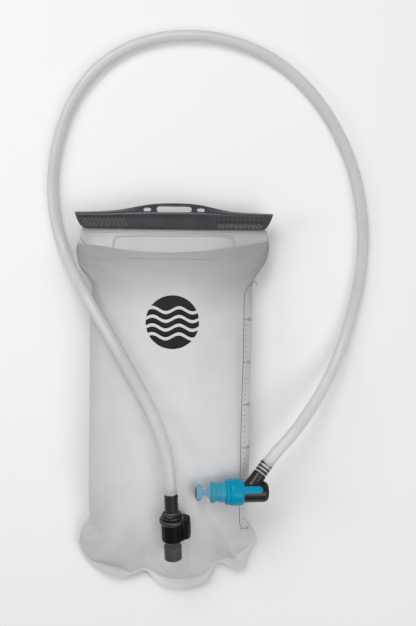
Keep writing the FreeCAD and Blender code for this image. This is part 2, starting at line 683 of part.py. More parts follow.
def make_plug():
    """Plug on the drink tube: nose with ring grooves, collar and hose barb."""
    port = port_placement()
    seat = "{coupling_head_top} + 0.2"
    top = "{coupling_head_top} + {collar_height}"
    tip = f"{top} + {{barb_length}}"
    corners = [
        ("1.6", "-{stem_length}"),
        ("{stem_radius} - 0.6", "-{stem_length}"),
        ("{stem_radius}", "-{stem_length} + 0.6"),
    ]
    for ring in (9.6, 4.6):
        corners += [
            ("{stem_radius}", f"-{ring} - 1.1"), ("{stem_radius} - 1.9", f"-{ring} - 1.1"),
            ("{stem_radius} - 1.9", f"-{ring} + 1.1"), ("{stem_radius}", f"-{ring} + 1.1")]
    corners += [
        ("{stem_radius}", "-0.2"),
        ("{stem_radius} - 0.9", "0.2"),
        ("{stem_radius} - 0.9", "{latch_thickness} + 0.2"),
        ("{stem_radius}", "{latch_thickness} + 0.6"),
        ("{stem_radius}", seat),
        ("{collar_radius} - 0.6", seat),
        ("{collar_radius}", f"{seat} + 0.6"),
        ("{collar_radius}", f"{top} - 1.0"),
        ("{collar_radius} - 1.0", top),
        ("{hose_bore} / 2", top),
    ]
    for barb in range(5):
        low = f"{top} + {1.4 + 3.7 * barb}"
        high = f"{top} + {4.2 + 3.7 * barb}"
        corners += [("{hose_bore} / 2 - 0.5", low), ("{hose_bore} / 2 + 0.45", low),
                    ("{hose_bore} / 2 - 0.5", high)]
    corners += [
        ("{hose_bore} / 2 - 0.5", tip),
        ("1.6", tip),
    ]
    turned("tube_plug", corners).Placement = port
    rings = [ring_solid(size("stem_radius") - 0.78, 1.0, -place) for place in (9.6, 4.6)]
    shaped("plug_o_rings", Part.makeCompound(rings), port)
    turned("port_seal_ring", [
        ("{coupling_neck_radius}", "-{coupling_stem} + 11.3"),
        ("{coupling_rib_radius}", "-{coupling_stem} + 11.3"),
        ("{coupling_rib_radius}", "-{coupling_stem} + 13.3"),
        ("{coupling_neck_radius}", "-{coupling_stem} + 13.3"),
    ]).Placement = port


# ---------------------------------------------------------------- bite valve

def valve_placement():
    """Frame of the bite valve: Z from the tip to the rear, X towards the branch, Y up."""
    cycle = Rotation(Vector(0, 1, 0), Vector(0, 0, 1), Vector(1, 0, 0), "XYZ")
    roll = Rotation(Vector(1, 0, 0), size("valve_roll"))
    pitch = Rotation(Vector(0, 1, 0), size("valve_pitch"))
    along = size("bag_foot_y") + size("valve_from_foot")
    base = Vector(size("valve_x"), along, size("fill_height") + size("valve_rise"))
    return Placement(base, pitch.multiply(roll).multiply(cycle))


def branch_direction():
    """Branch axis in the bite valve's own frame."""
    angle = math.radians(size("branch_angle"))
    return Vector(math.sin(angle), 0, math.cos(angle))


def make_mouthpiece():
    """Soft clear mouthpiece with a slit, over the blue core that it grips."""
    place = valve_placement()
    wall = "{mouthpiece_wall}"
    end = "{mouthpiece_length}"
    widest = "{mouthpiece_radius}"
    outer = [
        ("0", "0"), (f"{widest} - 5", "0"), (f"{widest} - 2.6", "1.2"), (f"{widest} - 1.2", "4"),
        (f"{widest} - 0.3", "9"), (widest, "14.5"), (f"{widest} - 0.9", "18.5"),
        (f"{widest} - 1.6", "21.5"), (f"{widest} - 1.2", "24.5"), (f"{widest} - 1.0", end),
    ]
    inner = [
        ("{barrel_radius}", end), ("{barrel_radius}", "19.5"), (f"{widest} - {wall}", "18.6"),
        (f"{widest} - {wall}", "14"), (f"{widest} - {wall} - 0.3", "9"), (f"{widest} - {wall} - 1.3", "4.4"),
        (f"{widest} - {wall} - 3.6", "2"), ("0", "2"),
    ]
    sheath = turned("mouthpiece_sheath", outer + inner)
    slit = polygon_sketch(sheath, "XY_Plane", [
        ("-5.5", "-0.25"), ("5.5", "-0.25"), ("5.5", "0.25"), ("-5.5", "0.25")], "SlitOutline")
    cut = sheath.newObject("PartDesign::Pocket", "Slit")
    cut.Profile = slit
    cut.SideType = "Symmetric"
    cut.Length = 6
    document.recompute()
    sheath.Placement = place

    core = turned("mouthpiece_core", [
        ("1.6", "3.2"), ("5.8", "3.2"), ("6.2", "3.8"), ("6.2", "6.8"), ("2.6", "7.4"), ("2.6", "12"),
        (f"{widest} - {wall} - 0.6", "17.4"), (f"{widest} - {wall} - 0.6", "18.4"),
        ("{barrel_radius}", "18.6"), ("{barrel_radius}", f"{end} + 1.8"), ("1.6", f"{end} + 1.8")])
    core.Placement = place


def make_shutoff():
    """Twist collar with its thumb lever, and the ported rotor that it turns."""
    place = valve_placement()
    front = "{mouthpiece_length} + 0.2"
    rear = "{mouthpiece_length} + 0.2 + {shutoff_length}"
    collar = turned("collar_ring", [
        ("{barrel_radius}", front),
        ("{shutoff_radius} - 2.4", front),
        ("{shutoff_radius} - 0.6", f"{front} + 1.2"),
        ("{shutoff_radius} - 0.6", f"{front} + 2.9"),
        ("{shutoff_radius} - 1.2", f"{front} + 3.3"),
        ("{shutoff_radius} - 0.3", f"{front} + 4.2"),
        ("{shutoff_radius}", f"{front} + 6"),
        ("{shutoff_radius}", f"{rear} - 1.2"),
        ("{shutoff_radius} - 1.0", rear),
        ("{elbow_radius} + {rotor_clearance}", rear),
        ("{elbow_radius} + {rotor_clearance}", "{elbow_start} - 0.3"),
        ("{barrel_radius}", "{elbow_start} - 0.3"),
    ])
    start = size("mouthpiece_length") + size("shutoff_length") - 2.5
    inner = size("elbow_radius") + 0.6
    outer = inner + size("lever_thickness")
    length = size("lever_reach") + 2.7
    width = size("lever_width")
    bar = Part.makeBox(width, outer + 2, length, Vector(-width / 2, 0, start))
    tip = Part.makeCylinder(width / 2, outer + 2, Vector(0, 0, start + length), Vector(0, 1, 0))
    shell = tube_solid(outer, inner, start, start + length + width)
    lever = bar.fuse(tip).common(shell)
    lever.rotate(Vector(0, 0, 0), Vector(0, 0, 1), -size("lever_angle"))
    blank = collar.Shape.copy()
    document.removeObject(collar.Name)
    shaped("shutoff_collar", blank.fuse(lever).removeSplitter(), place)

    radius = size("rotor_radius")
    hub_low = size("mouthpiece_length") + 1.8
    hub_high = size("elbow_start") - 0.3
    rotor_end = size("elbow_start") + size("elbow_length") - 4
    rotor = tube_solid(size("barrel_radius"), 3.2, hub_low, hub_high)
    rotor = rotor.fuse(tube_solid(radius, 3.2, hub_high - 0.5, rotor_end))
    plug = Part.makeCylinder(3.4, 2.0, Vector(0, 0, rotor_end - 2.0))
    rotor = rotor.fuse(plug)
    port = Part.makeCylinder(2.6, 20, Vector(0, 0, size("branch_place")), branch_direction())
    rotor = rotor.cut(port)
    grooves = [size("branch_place") - 8.5, rotor_end - 2.2]
    for height in grooves:
        rotor = rotor.cut(tube_solid(radius + 1, radius - 1.1, height - 0.9, height + 0.9))
    shaped("shutoff_rotor", rotor.removeSplitter(), place)
    rings = [ring_solid(radius - 0.43, 0.65, height) for height in grooves]
    shaped("rotor_o_rings", Part.makeCompound(rings), place)


def make_elbow():
    """Black elbow with the hose branch and barb, closed by an end cap."""
    place = valve_placement()
    start = size("elbow_start")
    end = start + size("elbow_length")
    radius = size("elbow_radius")
    bore = size("rotor_radius") + size("rotor_clearance")
    body = Part.makeCylinder(radius, end - start, Vector(0, 0, start))
    centre = Vector(0, 0, size("branch_place"))
    direction = branch_direction()
    length = size("branch_length")
    hose_bore = size("hose_bore") / 2
    branch = Part.makeCylinder(size("branch_radius"), length, centre, direction)
    barb = Part.makeCylinder(hose_bore - 0.5, length + size("branch_barb_length"), centre, direction)
    body = body.fuse(branch).fuse(barb)
    for step in range(3):
        foot = centre + direction * (length + 0.8 + 2.7 * step)
        body = body.fuse(Part.makeCone(hose_bore + 0.4, hose_bore - 0.5, 2.4, foot, direction))
    body = body.cut(Part.makeCylinder(bore, end - start + 2, Vector(0, 0, start - 1)))
    water = Part.makeCylinder(size("water_bore"), length + 20, centre, direction)
    body = body.cut(water)
    shaped("valve_housing", body.removeSplitter(), place)

    cap = turned("valve_end_cap", [
        ("0", f"{{elbow_start}} + {{elbow_length}} - 3"),
        ("4.6", "{elbow_start} + {elbow_length} - 3"),
        ("4.6", "{elbow_start} + {elbow_length} - 1.6"),
        ("{rotor_radius} + {rotor_clearance} - 0.05", "{elbow_start} + {elbow_length} - 1.6"),
        ("{rotor_radius} + {rotor_clearance} - 0.05", "{elbow_start} + {elbow_length}"),
        ("{elbow_radius}", "{elbow_start} + {elbow_length}"),
        ("{elbow_radius}", "{elbow_start} + {elbow_length} + {end_cap_length} - 2.4"),
        ("{elbow_radius} - 0.7", "{elbow_start} + {elbow_length} + {end_cap_length} - 0.9"),
        ("{elbow_radius} - 2.2", "{elbow_start} + {elbow_length} + {end_cap_length}"),
        ("0", "{elbow_start} + {elbow_length} + {end_cap_length}"),
    ])
    cap.Placement = place
    seal = ring_solid(5.5, 0.85, end - 2.45)
    shaped("end_cap_ring", seal, place)


# ---------------------------------------------------------------- drink tube

HOSE_ROUTE = [
    (1.5, -72.2, 68.6),
    (-1.7, -48.0, 70.3),
    (-8.6, -26.5, 66.8),
    (-17.7, -8.0, 62.0),
    (-27.9, 9.5, 58.6),
    (-38.4, 27.5, 56.2),
    (-49.3, 45.5, 53.2),
    (-60.3, 63.6, 49.3),
    (-71.2, 80.5, 43.8),
    (-82.0, 97.0, 36.0),
    (-92.0, 112.5, 25.3),
    (-101.6, 129.5, 13.0),
    (-108.8, 147.5, 6.8),
    (-114.0, 166.5, 5.6),
    (-117.2, 187.0, 5.6),
    (-117.6, 208.0, 5.6),
    (-116.0, 229.0, 5.6),
    (-111.5, 251.0, 5.6),
    (-103.0, 276.5, 5.6),
    (-88.0, 302.0, 5.6),
    (-66.0, 323.5, 5.6),
    (-37.0, 339.0, 5.6),
    (-2.0, 346.5, 5.6),
    (36.0, 345.5, 5.6),
    (73.0, 335.0, 5.6),
    (105.0, 317.0, 5.6),
    (131.0, 292.5, 5.6),
    (153.0, 261.5, 5.6),
    (169.5, 226.0, 5.6),
    (178.5, 189.0, 5.6),
    (181.6, 151.0, 5.6),
    (178.3, 113.0, 5.6),
    (171.0, 82.0, 6.0),
    (163.0, 54.5, 8.6),
    (153.6, 30.5, 14.2),
    (141.8, 9.0, 22.8),
    (128.0, -11.5, 32.6),
    (112.5, -31.5, 41.6),
    (95.5, -48.4, 47.0),
]


ROUTE_START = Vector(2.6, -101.0, 60.3)
ROUTE_END = Vector(82.9, -65.9, 48.9)
START_EASE = 13
END_EASE = 9


def eased_route(start, end):
    """Route points, of which the first and last ones follow the hose's two ends."""
    start_shift = start - ROUTE_START
    end_shift = end - ROUTE_END
    points = []
    for index, place in enumerate(HOSE_ROUTE):
        from_end = len(HOSE_ROUTE) - 1 - index
        start_share = max(0.0, 1 - (index / START_EASE) ** 2)
        end_share = max(0.0, 1 - (from_end / END_EASE) ** 2)
        points.append(Vector(*place) + start_shift * start_share + end_shift * end_share)
    return points


def make_drink_tube():
    """Clear hose from the plug's barb, over the left side, round and back to the bite valve."""
    port = port_placement()
    valve = valve_placement()
    start = port.multVec(Vector(0, 0, size("coupling_head_top") + size("collar_height")))
    end = valve.multVec(Vector(0, 0, size("branch_place")) + branch_direction() * size("branch_length"))
    points = [start] + eased_route(start, end) + [end]
    path, radii = rounded_path(points)
    direction = points[1] - points[0]
    outer = Part.Wire(Part.makeCircle(size("hose_diameter") / 2, start, direction))
    inner = Part.Wire(Part.makeCircle(size("hose_bore") / 2, start, direction))
    solid = path.makePipeShell([outer], True, False).cut(path.makePipeShell([inner], True, False))
    section = math.pi * (size("hose_diameter") ** 2 - size("hose_bore") ** 2) / 4
    print(f"drink_tube length {path.Length:.1f}, volume ratio {solid.Volume / (section * path.Length):.4f}")
    print("drink_tube radii", " ".join(f"{radius:.0f}" for radius in radii))
    shaped("drink_tube", solid)


# ---------------------------------------------------------------- output

NODES = [
    "bag_front_panel", "bag_back_panel", "port_base", "closure_lip_front", "closure_lip_back",
    "slide_seal_bar", "receptacle_housing", "port_seal_ring", "latch_plate", "thumb_button",
    "latch_spring", "check_valve_poppet", "poppet_seal", "check_valve_spring", "tube_plug",
    "plug_o_rings", "drink_tube", "valve_housing", "valve_end_cap", "end_cap_ring",
    "shutoff_collar", "shutoff_rotor", "rotor_o_rings", "mouthpiece_core", "mouthpiece_sheath",
]


def check_document():
    """Stop if any object failed or any sub-part has no valid shape."""
    for item in document.Objects:
        if "Invalid" in item.State or "Error" in item.State:
            raise RuntimeError(f"{item.Label} failed: {item.State}")
    for name in NODES:
        shape = document.getObjectsByLabel(name)[0].Shape
        if shape.isNull() or not shape.isValid() or not shape.Solids:
            raise RuntimeError(f"{name} has no valid solid")


def write_parts():
    """Write each sub-part as its own STEP file."""
    os.makedirs("parts", exist_ok=True)
    for name in NODES:
        shape = document.getObjectsByLabel(name)[0].Shape
        shape.exportStep(f"parts/{name}.step")


make_bag()
make_port_base()
make_lips()
make_closure_bar()
make_receptacle()
make_latch()
make_check_valve()
make_plug()
make_mouthpiece()
make_shutoff()
make_elbow()
make_drink_tube()
document.recompute()
check_document()
write_parts()
for node_name in NODES:
    node_shape = document.getObjectsByLabel(node_name)[0].Shape
    box = node_shape.optimalBoundingBox(False)
    print(f"{node_name:20s} V {node_shape.Volume:10.1f} solids {len(node_shape.Solids)} "
          f"X {box.XMin:.1f}..{box.XMax:.1f} Y {box.YMin:.1f}..{box.YMax:.1f} "
          f"Z {box.ZMin:.1f}..{box.ZMax:.1f}")
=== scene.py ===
"""Two-litre hydration bladder on a pale studio floor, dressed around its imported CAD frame."""
import json
import math

import bmesh
import bpy
import numpy as np
from mathutils import Matrix, Vector, noise
from mathutils.bvhtree import BVHTree


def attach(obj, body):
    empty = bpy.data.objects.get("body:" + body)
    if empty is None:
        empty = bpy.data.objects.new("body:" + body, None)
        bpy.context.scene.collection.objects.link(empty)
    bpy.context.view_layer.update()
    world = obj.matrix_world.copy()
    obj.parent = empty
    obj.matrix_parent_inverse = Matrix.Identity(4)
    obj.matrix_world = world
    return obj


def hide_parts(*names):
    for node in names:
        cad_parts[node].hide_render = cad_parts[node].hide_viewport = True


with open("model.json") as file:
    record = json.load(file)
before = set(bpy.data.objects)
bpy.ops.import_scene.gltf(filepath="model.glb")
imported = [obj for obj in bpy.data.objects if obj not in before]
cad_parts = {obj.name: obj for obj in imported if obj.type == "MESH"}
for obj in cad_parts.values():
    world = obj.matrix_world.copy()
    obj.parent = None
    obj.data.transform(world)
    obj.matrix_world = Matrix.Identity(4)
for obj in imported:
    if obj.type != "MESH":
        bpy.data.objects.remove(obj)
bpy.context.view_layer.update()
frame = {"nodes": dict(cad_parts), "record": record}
JOINTS = {joint["name"]: joint for joint in frame["record"]["behaviour"]["joints"]}
MM = 0.001


# -------- materials

def material(name, colour, roughness, grain=60.0, bump=0.1, variation=0.08, **sockets):
    """Principled material whose colour, roughness and bump vary with a fine noise."""
    made = bpy.data.materials.new(name)
    made.use_nodes = True
    nodes, links = made.node_tree.nodes, made.node_tree.links
    shader = nodes["Principled BSDF"]
    place = nodes.new("ShaderNodeTexCoord")
    fine = nodes.new("ShaderNodeTexNoise")
    fine.inputs["Scale"].default_value = grain
    fine.inputs["Detail"].default_value = 6
    links.new(place.outputs["Object"], fine.inputs["Vector"])
    ramp = nodes.new("ShaderNodeValToRGB")
    ramp.color_ramp.elements[0].position = 0.3
    ramp.color_ramp.elements[1].position = 0.7
    ramp.color_ramp.elements[0].color = (*[c * (1 - variation) for c in colour], 1)
    ramp.color_ramp.elements[1].color = (*[min(c * (1 + variation), 1) for c in colour], 1)
    links.new(fine.outputs["Fac"], ramp.inputs["Fac"])
    links.new(ramp.outputs["Color"], shader.inputs["Base Color"])
    spread = nodes.new("ShaderNodeMapRange")
    spread.inputs["To Min"].default_value = roughness * 0.85
    spread.inputs["To Max"].default_value = min(roughness * 1.15, 1)
    links.new(fine.outputs["Fac"], spread.inputs["Value"])
    links.new(spread.outputs["Result"], shader.inputs["Roughness"])
    tiny = nodes.new("ShaderNodeTexNoise")
    tiny.inputs["Scale"].default_value = grain * 12
    links.new(place.outputs["Object"], tiny.inputs["Vector"])
    relief = nodes.new("ShaderNodeBump")
    relief.inputs["Strength"].default_value = bump
    relief.inputs["Distance"].default_value = 0.0002
    links.new(tiny.outputs["Fac"], relief.inputs["Height"])
    links.new(relief.outputs["Normal"], shader.inputs["Normal"])
    for socket, value in sockets.items():
        shader.inputs[socket.replace("_", " ")].default_value = value
    return made


DULL = {"Specular_IOR_Level": 0.22}
FILM_MATTE = material("film_matte", (0.74, 0.742, 0.75), 0.45, 45, 0.2, 0.03, Alpha=0.95)
FILM_CLEAR = material("film_clear", (0.56, 0.563, 0.575), 0.16, 30, 0.1, 0.03, Alpha=0.62)
PATCH_CLEAR = material("patch_clear", (0.85, 0.85, 0.86), 0.12, 40, 0.1, 0.03, Alpha=0.035)
HOSE_CLEAR = material("tube_clear", (0.68, 0.68, 0.675), 0.15, 35, 0.05, 0.04, Alpha=0.64)
HOSE_END = material("tube_end_clear", (0.5, 0.5, 0.5), 0.10, 35, 0.05, 0.04, Alpha=0.02)
SLIDER_GREY = material("slider_grey", (0.030, 0.031, 0.036), 0.27, 90, 0.25, 0.12,
                       Specular_IOR_Level=0.55)
BLACK = material("black_plastic", (0.003, 0.003, 0.0035), 0.32, 90, 0.3, 0.25, Specular_IOR_Level=0.15)
SATIN_BLACK = material("satin_black", (0.010, 0.010, 0.011), 0.36, 90, 0.3, 0.25,
                       Specular_IOR_Level=0.8)
ELBOW_BLACK = material("elbow_black", (0.004, 0.004, 0.005), 0.30, 90, 0.3, 0.25,
                       Specular_IOR_Level=0.45)
BLUE = material("blue_plastic", (0.0005, 0.275, 0.445), 0.25, 80, 0.15, 0.10, Specular_IOR_Level=0.12)
CORE_BLUE = material("core_blue", (0.001, 0.29, 0.43), 0.24, 80, 0.1, 0.10, Specular_IOR_Level=0.15)
SILICONE = material("silicone_clear", (0.80, 0.78, 0.86), 0.08, 50, 0.08, 0.03, Alpha=0.09)
SILICONE_THIN = material("silicone_thin", (0.70, 0.80, 0.86), 0.08, 50, 0.08, 0.03, Alpha=0.025)
RUBBER = material("rubber_black", (0.012, 0.012, 0.012), 0.62, 120, 0.4, 0.2, **DULL)
STEEL = material("spring_steel", (0.55, 0.56, 0.58), 0.24, 200, 0.2, 0.08, Metallic=1.0)
# The black also fills the bite valve's slit as painted shade.
INK_AND_SLIT_SHADE = material("ink_black", (0.010, 0.009, 0.010), 0.6, 150, 0.2, 0.3, **DULL)
# The grey also draws the shoulder folds as painted shade.
INK_GREY_AND_FOLD_SHADE = material("ink_grey_and_fold_shade", (0.11, 0.11, 0.12), 0.6, 150, 0.2, 0.2, **DULL)
FLOOR = material("studio_floor", (0.86, 0.86, 0.86), 0.9, 3, 0.0, 0.004, **DULL)

PAINTED_SHADES = {  # painted shade: places along the axis in metres and the share of the film's colour kept there
    "Y": ((-0.182, 0.97), (-0.120, 1.0), (0.006, 0.97), (0.078, 0.87), (0.109, 0.60), (0.136, 0.48)),
    "X": ((-0.092, 0.74), (-0.060, 0.82), (-0.020, 0.95), (0.010, 0.96), (0.050, 0.87), (0.092, 0.80)),
}


def shade_film(paint):
    """Painted shade: multiplies the film's colour darker under the closure and towards both sides,
    standing in for the shade on the filled film's curves.
    """
    nodes, links = paint.node_tree.nodes, paint.node_tree.links
    shader = nodes["Principled BSDF"]
    colour = shader.inputs["Base Color"].links[0].from_socket
    place = nodes.new("ShaderNodeTexCoord")
    split = nodes.new("ShaderNodeSeparateXYZ")
    links.new(place.outputs["Object"], split.inputs["Vector"])
    for axis, shades in PAINTED_SHADES.items():
        low, high = shades[0][0], shades[-1][0]
        spread = nodes.new("ShaderNodeMapRange")
        spread.inputs["From Min"].default_value = low
        spread.inputs["From Max"].default_value = high
        ramp = nodes.new("ShaderNodeValToRGB")
        stops = ramp.color_ramp.elements
        stops[0].color = (shades[0][1],) * 3 + (1,)
        stops[1].color = (shades[-1][1],) * 3 + (1,)
        for position, kept in shades[1:-1]:
            stop = stops.new((position - low) / (high - low))
            stop.color = (kept, kept, kept, 1)
        mix = nodes.new("ShaderNodeMix")
        mix.data_type = "RGBA"
        mix.blend_type = "MULTIPLY"
        mix.inputs["Factor"].default_value = 1.0
        links.new(split.outputs[axis], spread.inputs["Value"])
        links.new(spread.outputs["Result"], ramp.inputs["Fac"])
        links.new(colour, mix.inputs["A"])
        links.new(ramp.outputs["Color"], mix.inputs["B"])
        colour = mix.outputs["Result"]
    links.new(colour, shader.inputs["Base Color"])


# Painted shade in the matte film's colour.
shade_film(FILM_MATTE)


# -------- mesh helpers

def mesh_piece(name, verts, faces, paint, body, smooth=True, mend=True):
    """Mesh in the row frame, given in millimetres, that rides on a body."""
    data = bpy.data.meshes.new(name)
    data.from_pydata([tuple(float(c) * MM for c in v) for v in verts], [], faces)
    if mend:
        work = bmesh.new()
        work.from_mesh(data)
        bmesh.ops.remove_doubles(work, verts=work.verts, dist=1e-6)
        bmesh.ops.recalc_face_normals(work, faces=work.faces)
        work.to_mesh(data)
        work.free()
    piece = bpy.data.objects.new(name, data)
    bpy.context.scene.collection.objects.link(piece)
    data.materials.append(paint)
    if smooth:
        data.shade_smooth()
    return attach(piece, body)


def frame_of(origin, z_axis, x_axis):
    """Matrix of a local frame, in millimetres, from its Z axis and rough X axis."""
    up = Vector(z_axis).normalized()
    across = Vector(x_axis)
    across = (across - up * across.dot(up)).normalized()
    side = up.cross(across)
    turn = Matrix((across, side, up)).transposed().to_4x4()
    return Matrix.Translation(Vector(origin)) @ turn


def lathe(name, profile, place, paint, body, steps=72, closed=True, smooth_angle=35):
    """Piece turned about the Z axis of a frame from (radius, height) corners."""
    verts, faces = [], []
    count = len(profile)
    for step in range(steps):
        angle = math.tau * step / steps
        verts += [place @ Vector((r * math.cos(angle), r * math.sin(angle), z)) for r, z in profile]
    for step in range(steps):
        here, there = step * count, (step + 1) % steps * count
        for k in range(count if closed else count - 1):
            faces.append((here + k, here + (k + 1) % count, there + (k + 1) % count, there + k))
    piece = mesh_piece(name, verts, faces, paint, body)
    return sharpen(piece, smooth_angle)


def sharpen(piece, angle):
    """Keeps edges sharper than the angle crisp."""
    piece.data.set_sharp_from_angle(angle=math.radians(angle))
    return piece


ROUNDING_SEGMENTS = 3
ROUNDING_ANGLE = 30


def bevelled(piece, width):
    """Rounds the piece's edges."""
    soft = piece.modifiers.new("Rounding", "BEVEL")
    soft.width = width * MM
    soft.segments = ROUNDING_SEGMENTS
    soft.limit_method = "ANGLE"
    soft.angle_limit = math.radians(ROUNDING_ANGLE)
    soft.harden_normals = False
    return piece


def prism(name, outline, low, high, place, paint, body, rounding):
    """Bevelled solid from an outline in a frame's XY plane."""
    count = len(outline)
    verts = [place @ Vector((x, y, z)) for z in (low, high) for x, y in outline]
    faces = [tuple(range(count))[::-1], tuple(range(count, 2 * count))]
    faces += [(k, (k + 1) % count, count + (k + 1) % count, count + k) for k in range(count)]
    return bevelled(mesh_piece(name, verts, faces, paint, body), rounding)


def smooth_curve(points, spacing):
    """Catmull-Rom curve through points, at an even spacing."""
    points = [np.array(p, float) for p in points]
    padded = [2 * points[0] - points[1], *points, 2 * points[-1] - points[-2]]
    dense = []
    for a, b, c, d in zip(padded, padded[1:], padded[2:], padded[3:]):
        for t in np.linspace(0, 1, 24, endpoint=False):
            dense.append(0.5 * (2 * b + (c - a) * t + (2 * a - 5 * b + 4 * c - d) * t ** 2
                                + (3 * b - a - 3 * c + d) * t ** 3))
    dense = np.array([*dense, points[-1]])
    run = np.concatenate([[0], np.cumsum(np.linalg.norm(np.diff(dense, axis=0), axis=1))])
    count = max(2, round(run[-1] / spacing) + 1)
    places = np.linspace(0, run[-1], count)
    return np.stack([np.interp(places, run, dense[:, k]) for k in range(dense.shape[1])], axis=1)


def resampled(points, shares):
    """Curve through points, read at shares of its length."""
    line = smooth_curve(points, 0.4)
    run = np.concatenate([[0], np.cumsum(np.linalg.norm(np.diff(line, axis=0), axis=1))])
    return np.stack([np.interp(shares * run[-1], run, line[:, k]) for k in range(line.shape[1])],
                    axis=1)


# -------- stage, camera, lights

CAMERA_PLACE = (0.0331, 0.0802, 0.950)
CAMERA_TURN = 0.75
CAMERA_LENS = 56.6
WORLD_LIGHT = 0.35
FLOOR_HALF = 3.0
FLOOR_PLACE = (0, 0, -0.0004)
AIM = Vector((0.03, 0.05, 0.0))
LAMPS = [  # name, place, width, power
    ("key", (-0.35, 0.95, 1.35), 0.9, 12.0),
    ("fill", (0.75, -0.45, 1.3), 1.0, 8.0),
    ("strip", (-0.75, 0.15, 0.6), 0.35, 1.6),
]


def make_floor():
    """Pale floor that the bladder lies on."""
    corners = [(-1, -1), (1, -1), (1, 1), (-1, 1)]
    data = bpy.data.meshes.new("floor")
    data.from_pydata([(x * FLOOR_HALF, y * FLOOR_HALF, 0) for x, y in corners], [], [(0, 1, 2, 3)])
    data.materials.append(FLOOR)
    floor = bpy.data.objects.new("floor", data)
    floor.location = FLOOR_PLACE
    bpy.context.scene.collection.objects.link(floor)


def make_lamps():
    """Even surroundings, and soft lamps above and behind the head."""
    scene = bpy.context.scene
    world = bpy.data.worlds.new("studio")
    scene.world = world
    world.use_nodes = True
    surroundings = world.node_tree.nodes["Background"]
    surroundings.inputs["Color"].default_value = (1, 1, 1, 1)
    surroundings.inputs["Strength"].default_value = WORLD_LIGHT
    for name, place, width, power in LAMPS:
        lamp = bpy.data.lights.new(name, "AREA")
        lamp.size = width
        lamp.energy = power
        piece = bpy.data.objects.new(name, lamp)
        piece.location = place
        piece.rotation_euler = (AIM - Vector(place)).to_track_quat("-Z", "Y").to_euler()
        scene.collection.objects.link(piece)


def make_camera():
    """Camera straight above, turned a little with the photograph."""
    scene = bpy.context.scene
    scene.view_settings.view_transform = "Standard"
    lens = bpy.data.cameras.new("camera")
    lens.lens = CAMERA_LENS
    camera = bpy.data.objects.new("camera", lens)
    camera.location = CAMERA_PLACE
    camera.rotation_euler = (0, 0, math.radians(CAMERA_TURN))
    scene.collection.objects.link(camera)
    scene.camera = camera


# -------- frames of the coupling and the bite valve

PORT_MOUTH = (2.9, -109.0, 58.0)
PORT = frame_of(PORT_MOUTH, JOINTS["tube_pull"]["axis"], (1, 0.0367, 0))
VALVE_TIP = tuple(c / MM for c in JOINTS["shutoff_turn"]["pos_m"])
VALVE = frame_of(VALVE_TIP, JOINTS["shutoff_turn"]["axis"], (-0.0167, 0.9945, -0.1032))
BRANCH_PLACE = 49.6
BRANCH_ANGLE = math.radians(53.5)
BRANCH_LENGTH = 20.6
BRANCH_AXIS = VALVE.to_3x3() @ Vector((math.sin(BRANCH_ANGLE), 0, math.cos(BRANCH_ANGLE)))
BRANCH = frame_of(VALVE @ Vector((0, 0, BRANCH_PLACE)), BRANCH_AXIS, (0, 0, 1))
HOSE_LOW = 8.3

# -------- drink tube

HOSE_RADIUS = 5.5
HOSE_ROUTE = [
    (1.5, -72.2, 68.6), (-1.7, -48.0, 70.3), (-8.6, -26.5, 66.8), (-17.7, -8.0, 62.0),
    (-27.9, 9.5, 58.6), (-38.4, 27.5, 56.2), (-49.3, 45.5, 53.2), (-60.3, 63.6, 49.3),
    (-71.2, 80.5, 43.8), (-82.0, 97.0, 36.0), (-92.0, 112.5, 25.3), (-101.6, 129.5, 13.0),
    (-108.8, 147.5, 6.8), (-114.0, 166.5, 5.6), (-117.2, 187.0, 5.6), (-117.6, 208.0, 5.6),
    (-116.0, 229.0, 5.6), (-111.5, 251.0, 5.6), (-103.0, 276.5, 5.6), (-88.0, 302.0, 5.6),
    (-66.0, 323.5, 5.6), (-37.0, 339.0, 5.6), (-2.0, 346.5, 5.6), (36.0, 345.5, 5.6),
    (73.0, 335.0, 5.6), (105.0, 317.0, 5.6), (131.0, 292.5, 5.6), (153.0, 261.5, 5.6),
    (169.5, 226.0, 5.6), (178.5, 189.0, 5.6), (181.6, 151.0, 5.6), (178.3, 113.0, 5.6),
    (171.0, 82.0, 6.0), (163.0, 54.5, 8.6), (153.6, 30.5, 14.2), (141.8, 9.0, 22.8),
    (128.0, -11.5, 32.6), (112.5, -31.5, 41.6), (95.5, -48.4, 47.0),
]


def hose_line(name, radius):
    """NURBS line of the hose with a round section."""
    start = PORT @ Vector((0, 0, HOSE_LOW))
    end = BRANCH @ Vector((0, 0, BRANCH_LENGTH))
    points = [start, *[Vector(p) for p in HOSE_ROUTE], end]
    line = bpy.data.curves.new(name, "CURVE")
    line.dimensions = "3D"
    spline = line.splines.new("NURBS")
    spline.points.add(len(points) - 1)
    for knot, point in zip(spline.points, points):
        knot.co = (*(point * MM), 1)
    spline.order_u = 3
    spline.use_endpoint_u = True
    spline.resolution_u = 8
    line.bevel_depth = radius * MM
    line.bevel_resolution = 7
    line.use_fill_caps = True
    return line, start * MM


BARB_CORE = 3.0
TOOTH_PITCH = 3.6
TOOTH_LEAD = 1.2
HOSE_ENDS = [  # name, frame, start along it, teeth, barb material
    ("port", PORT, HOSE_LOW, 5, BLACK),
    ("valve", BRANCH, BRANCH_LENGTH, 3, ELBOW_BLACK),
]


def barb_profile(low, teeth):
    """Corners of a hose barb and the height of its end."""
    high = low + TOOTH_LEAD + TOOTH_PITCH * teeth
    corners = [(BARB_CORE, low)]
    for tooth in range(teeth):
        z = low + TOOTH_LEAD + TOOTH_PITCH * tooth
        corners += [(5.55, z), (6.25, z + 0.35), (6.2, z + 1.3), (5.55, z + 2.6)]
    return [*corners, (5.3, high), (BARB_CORE, high)], high


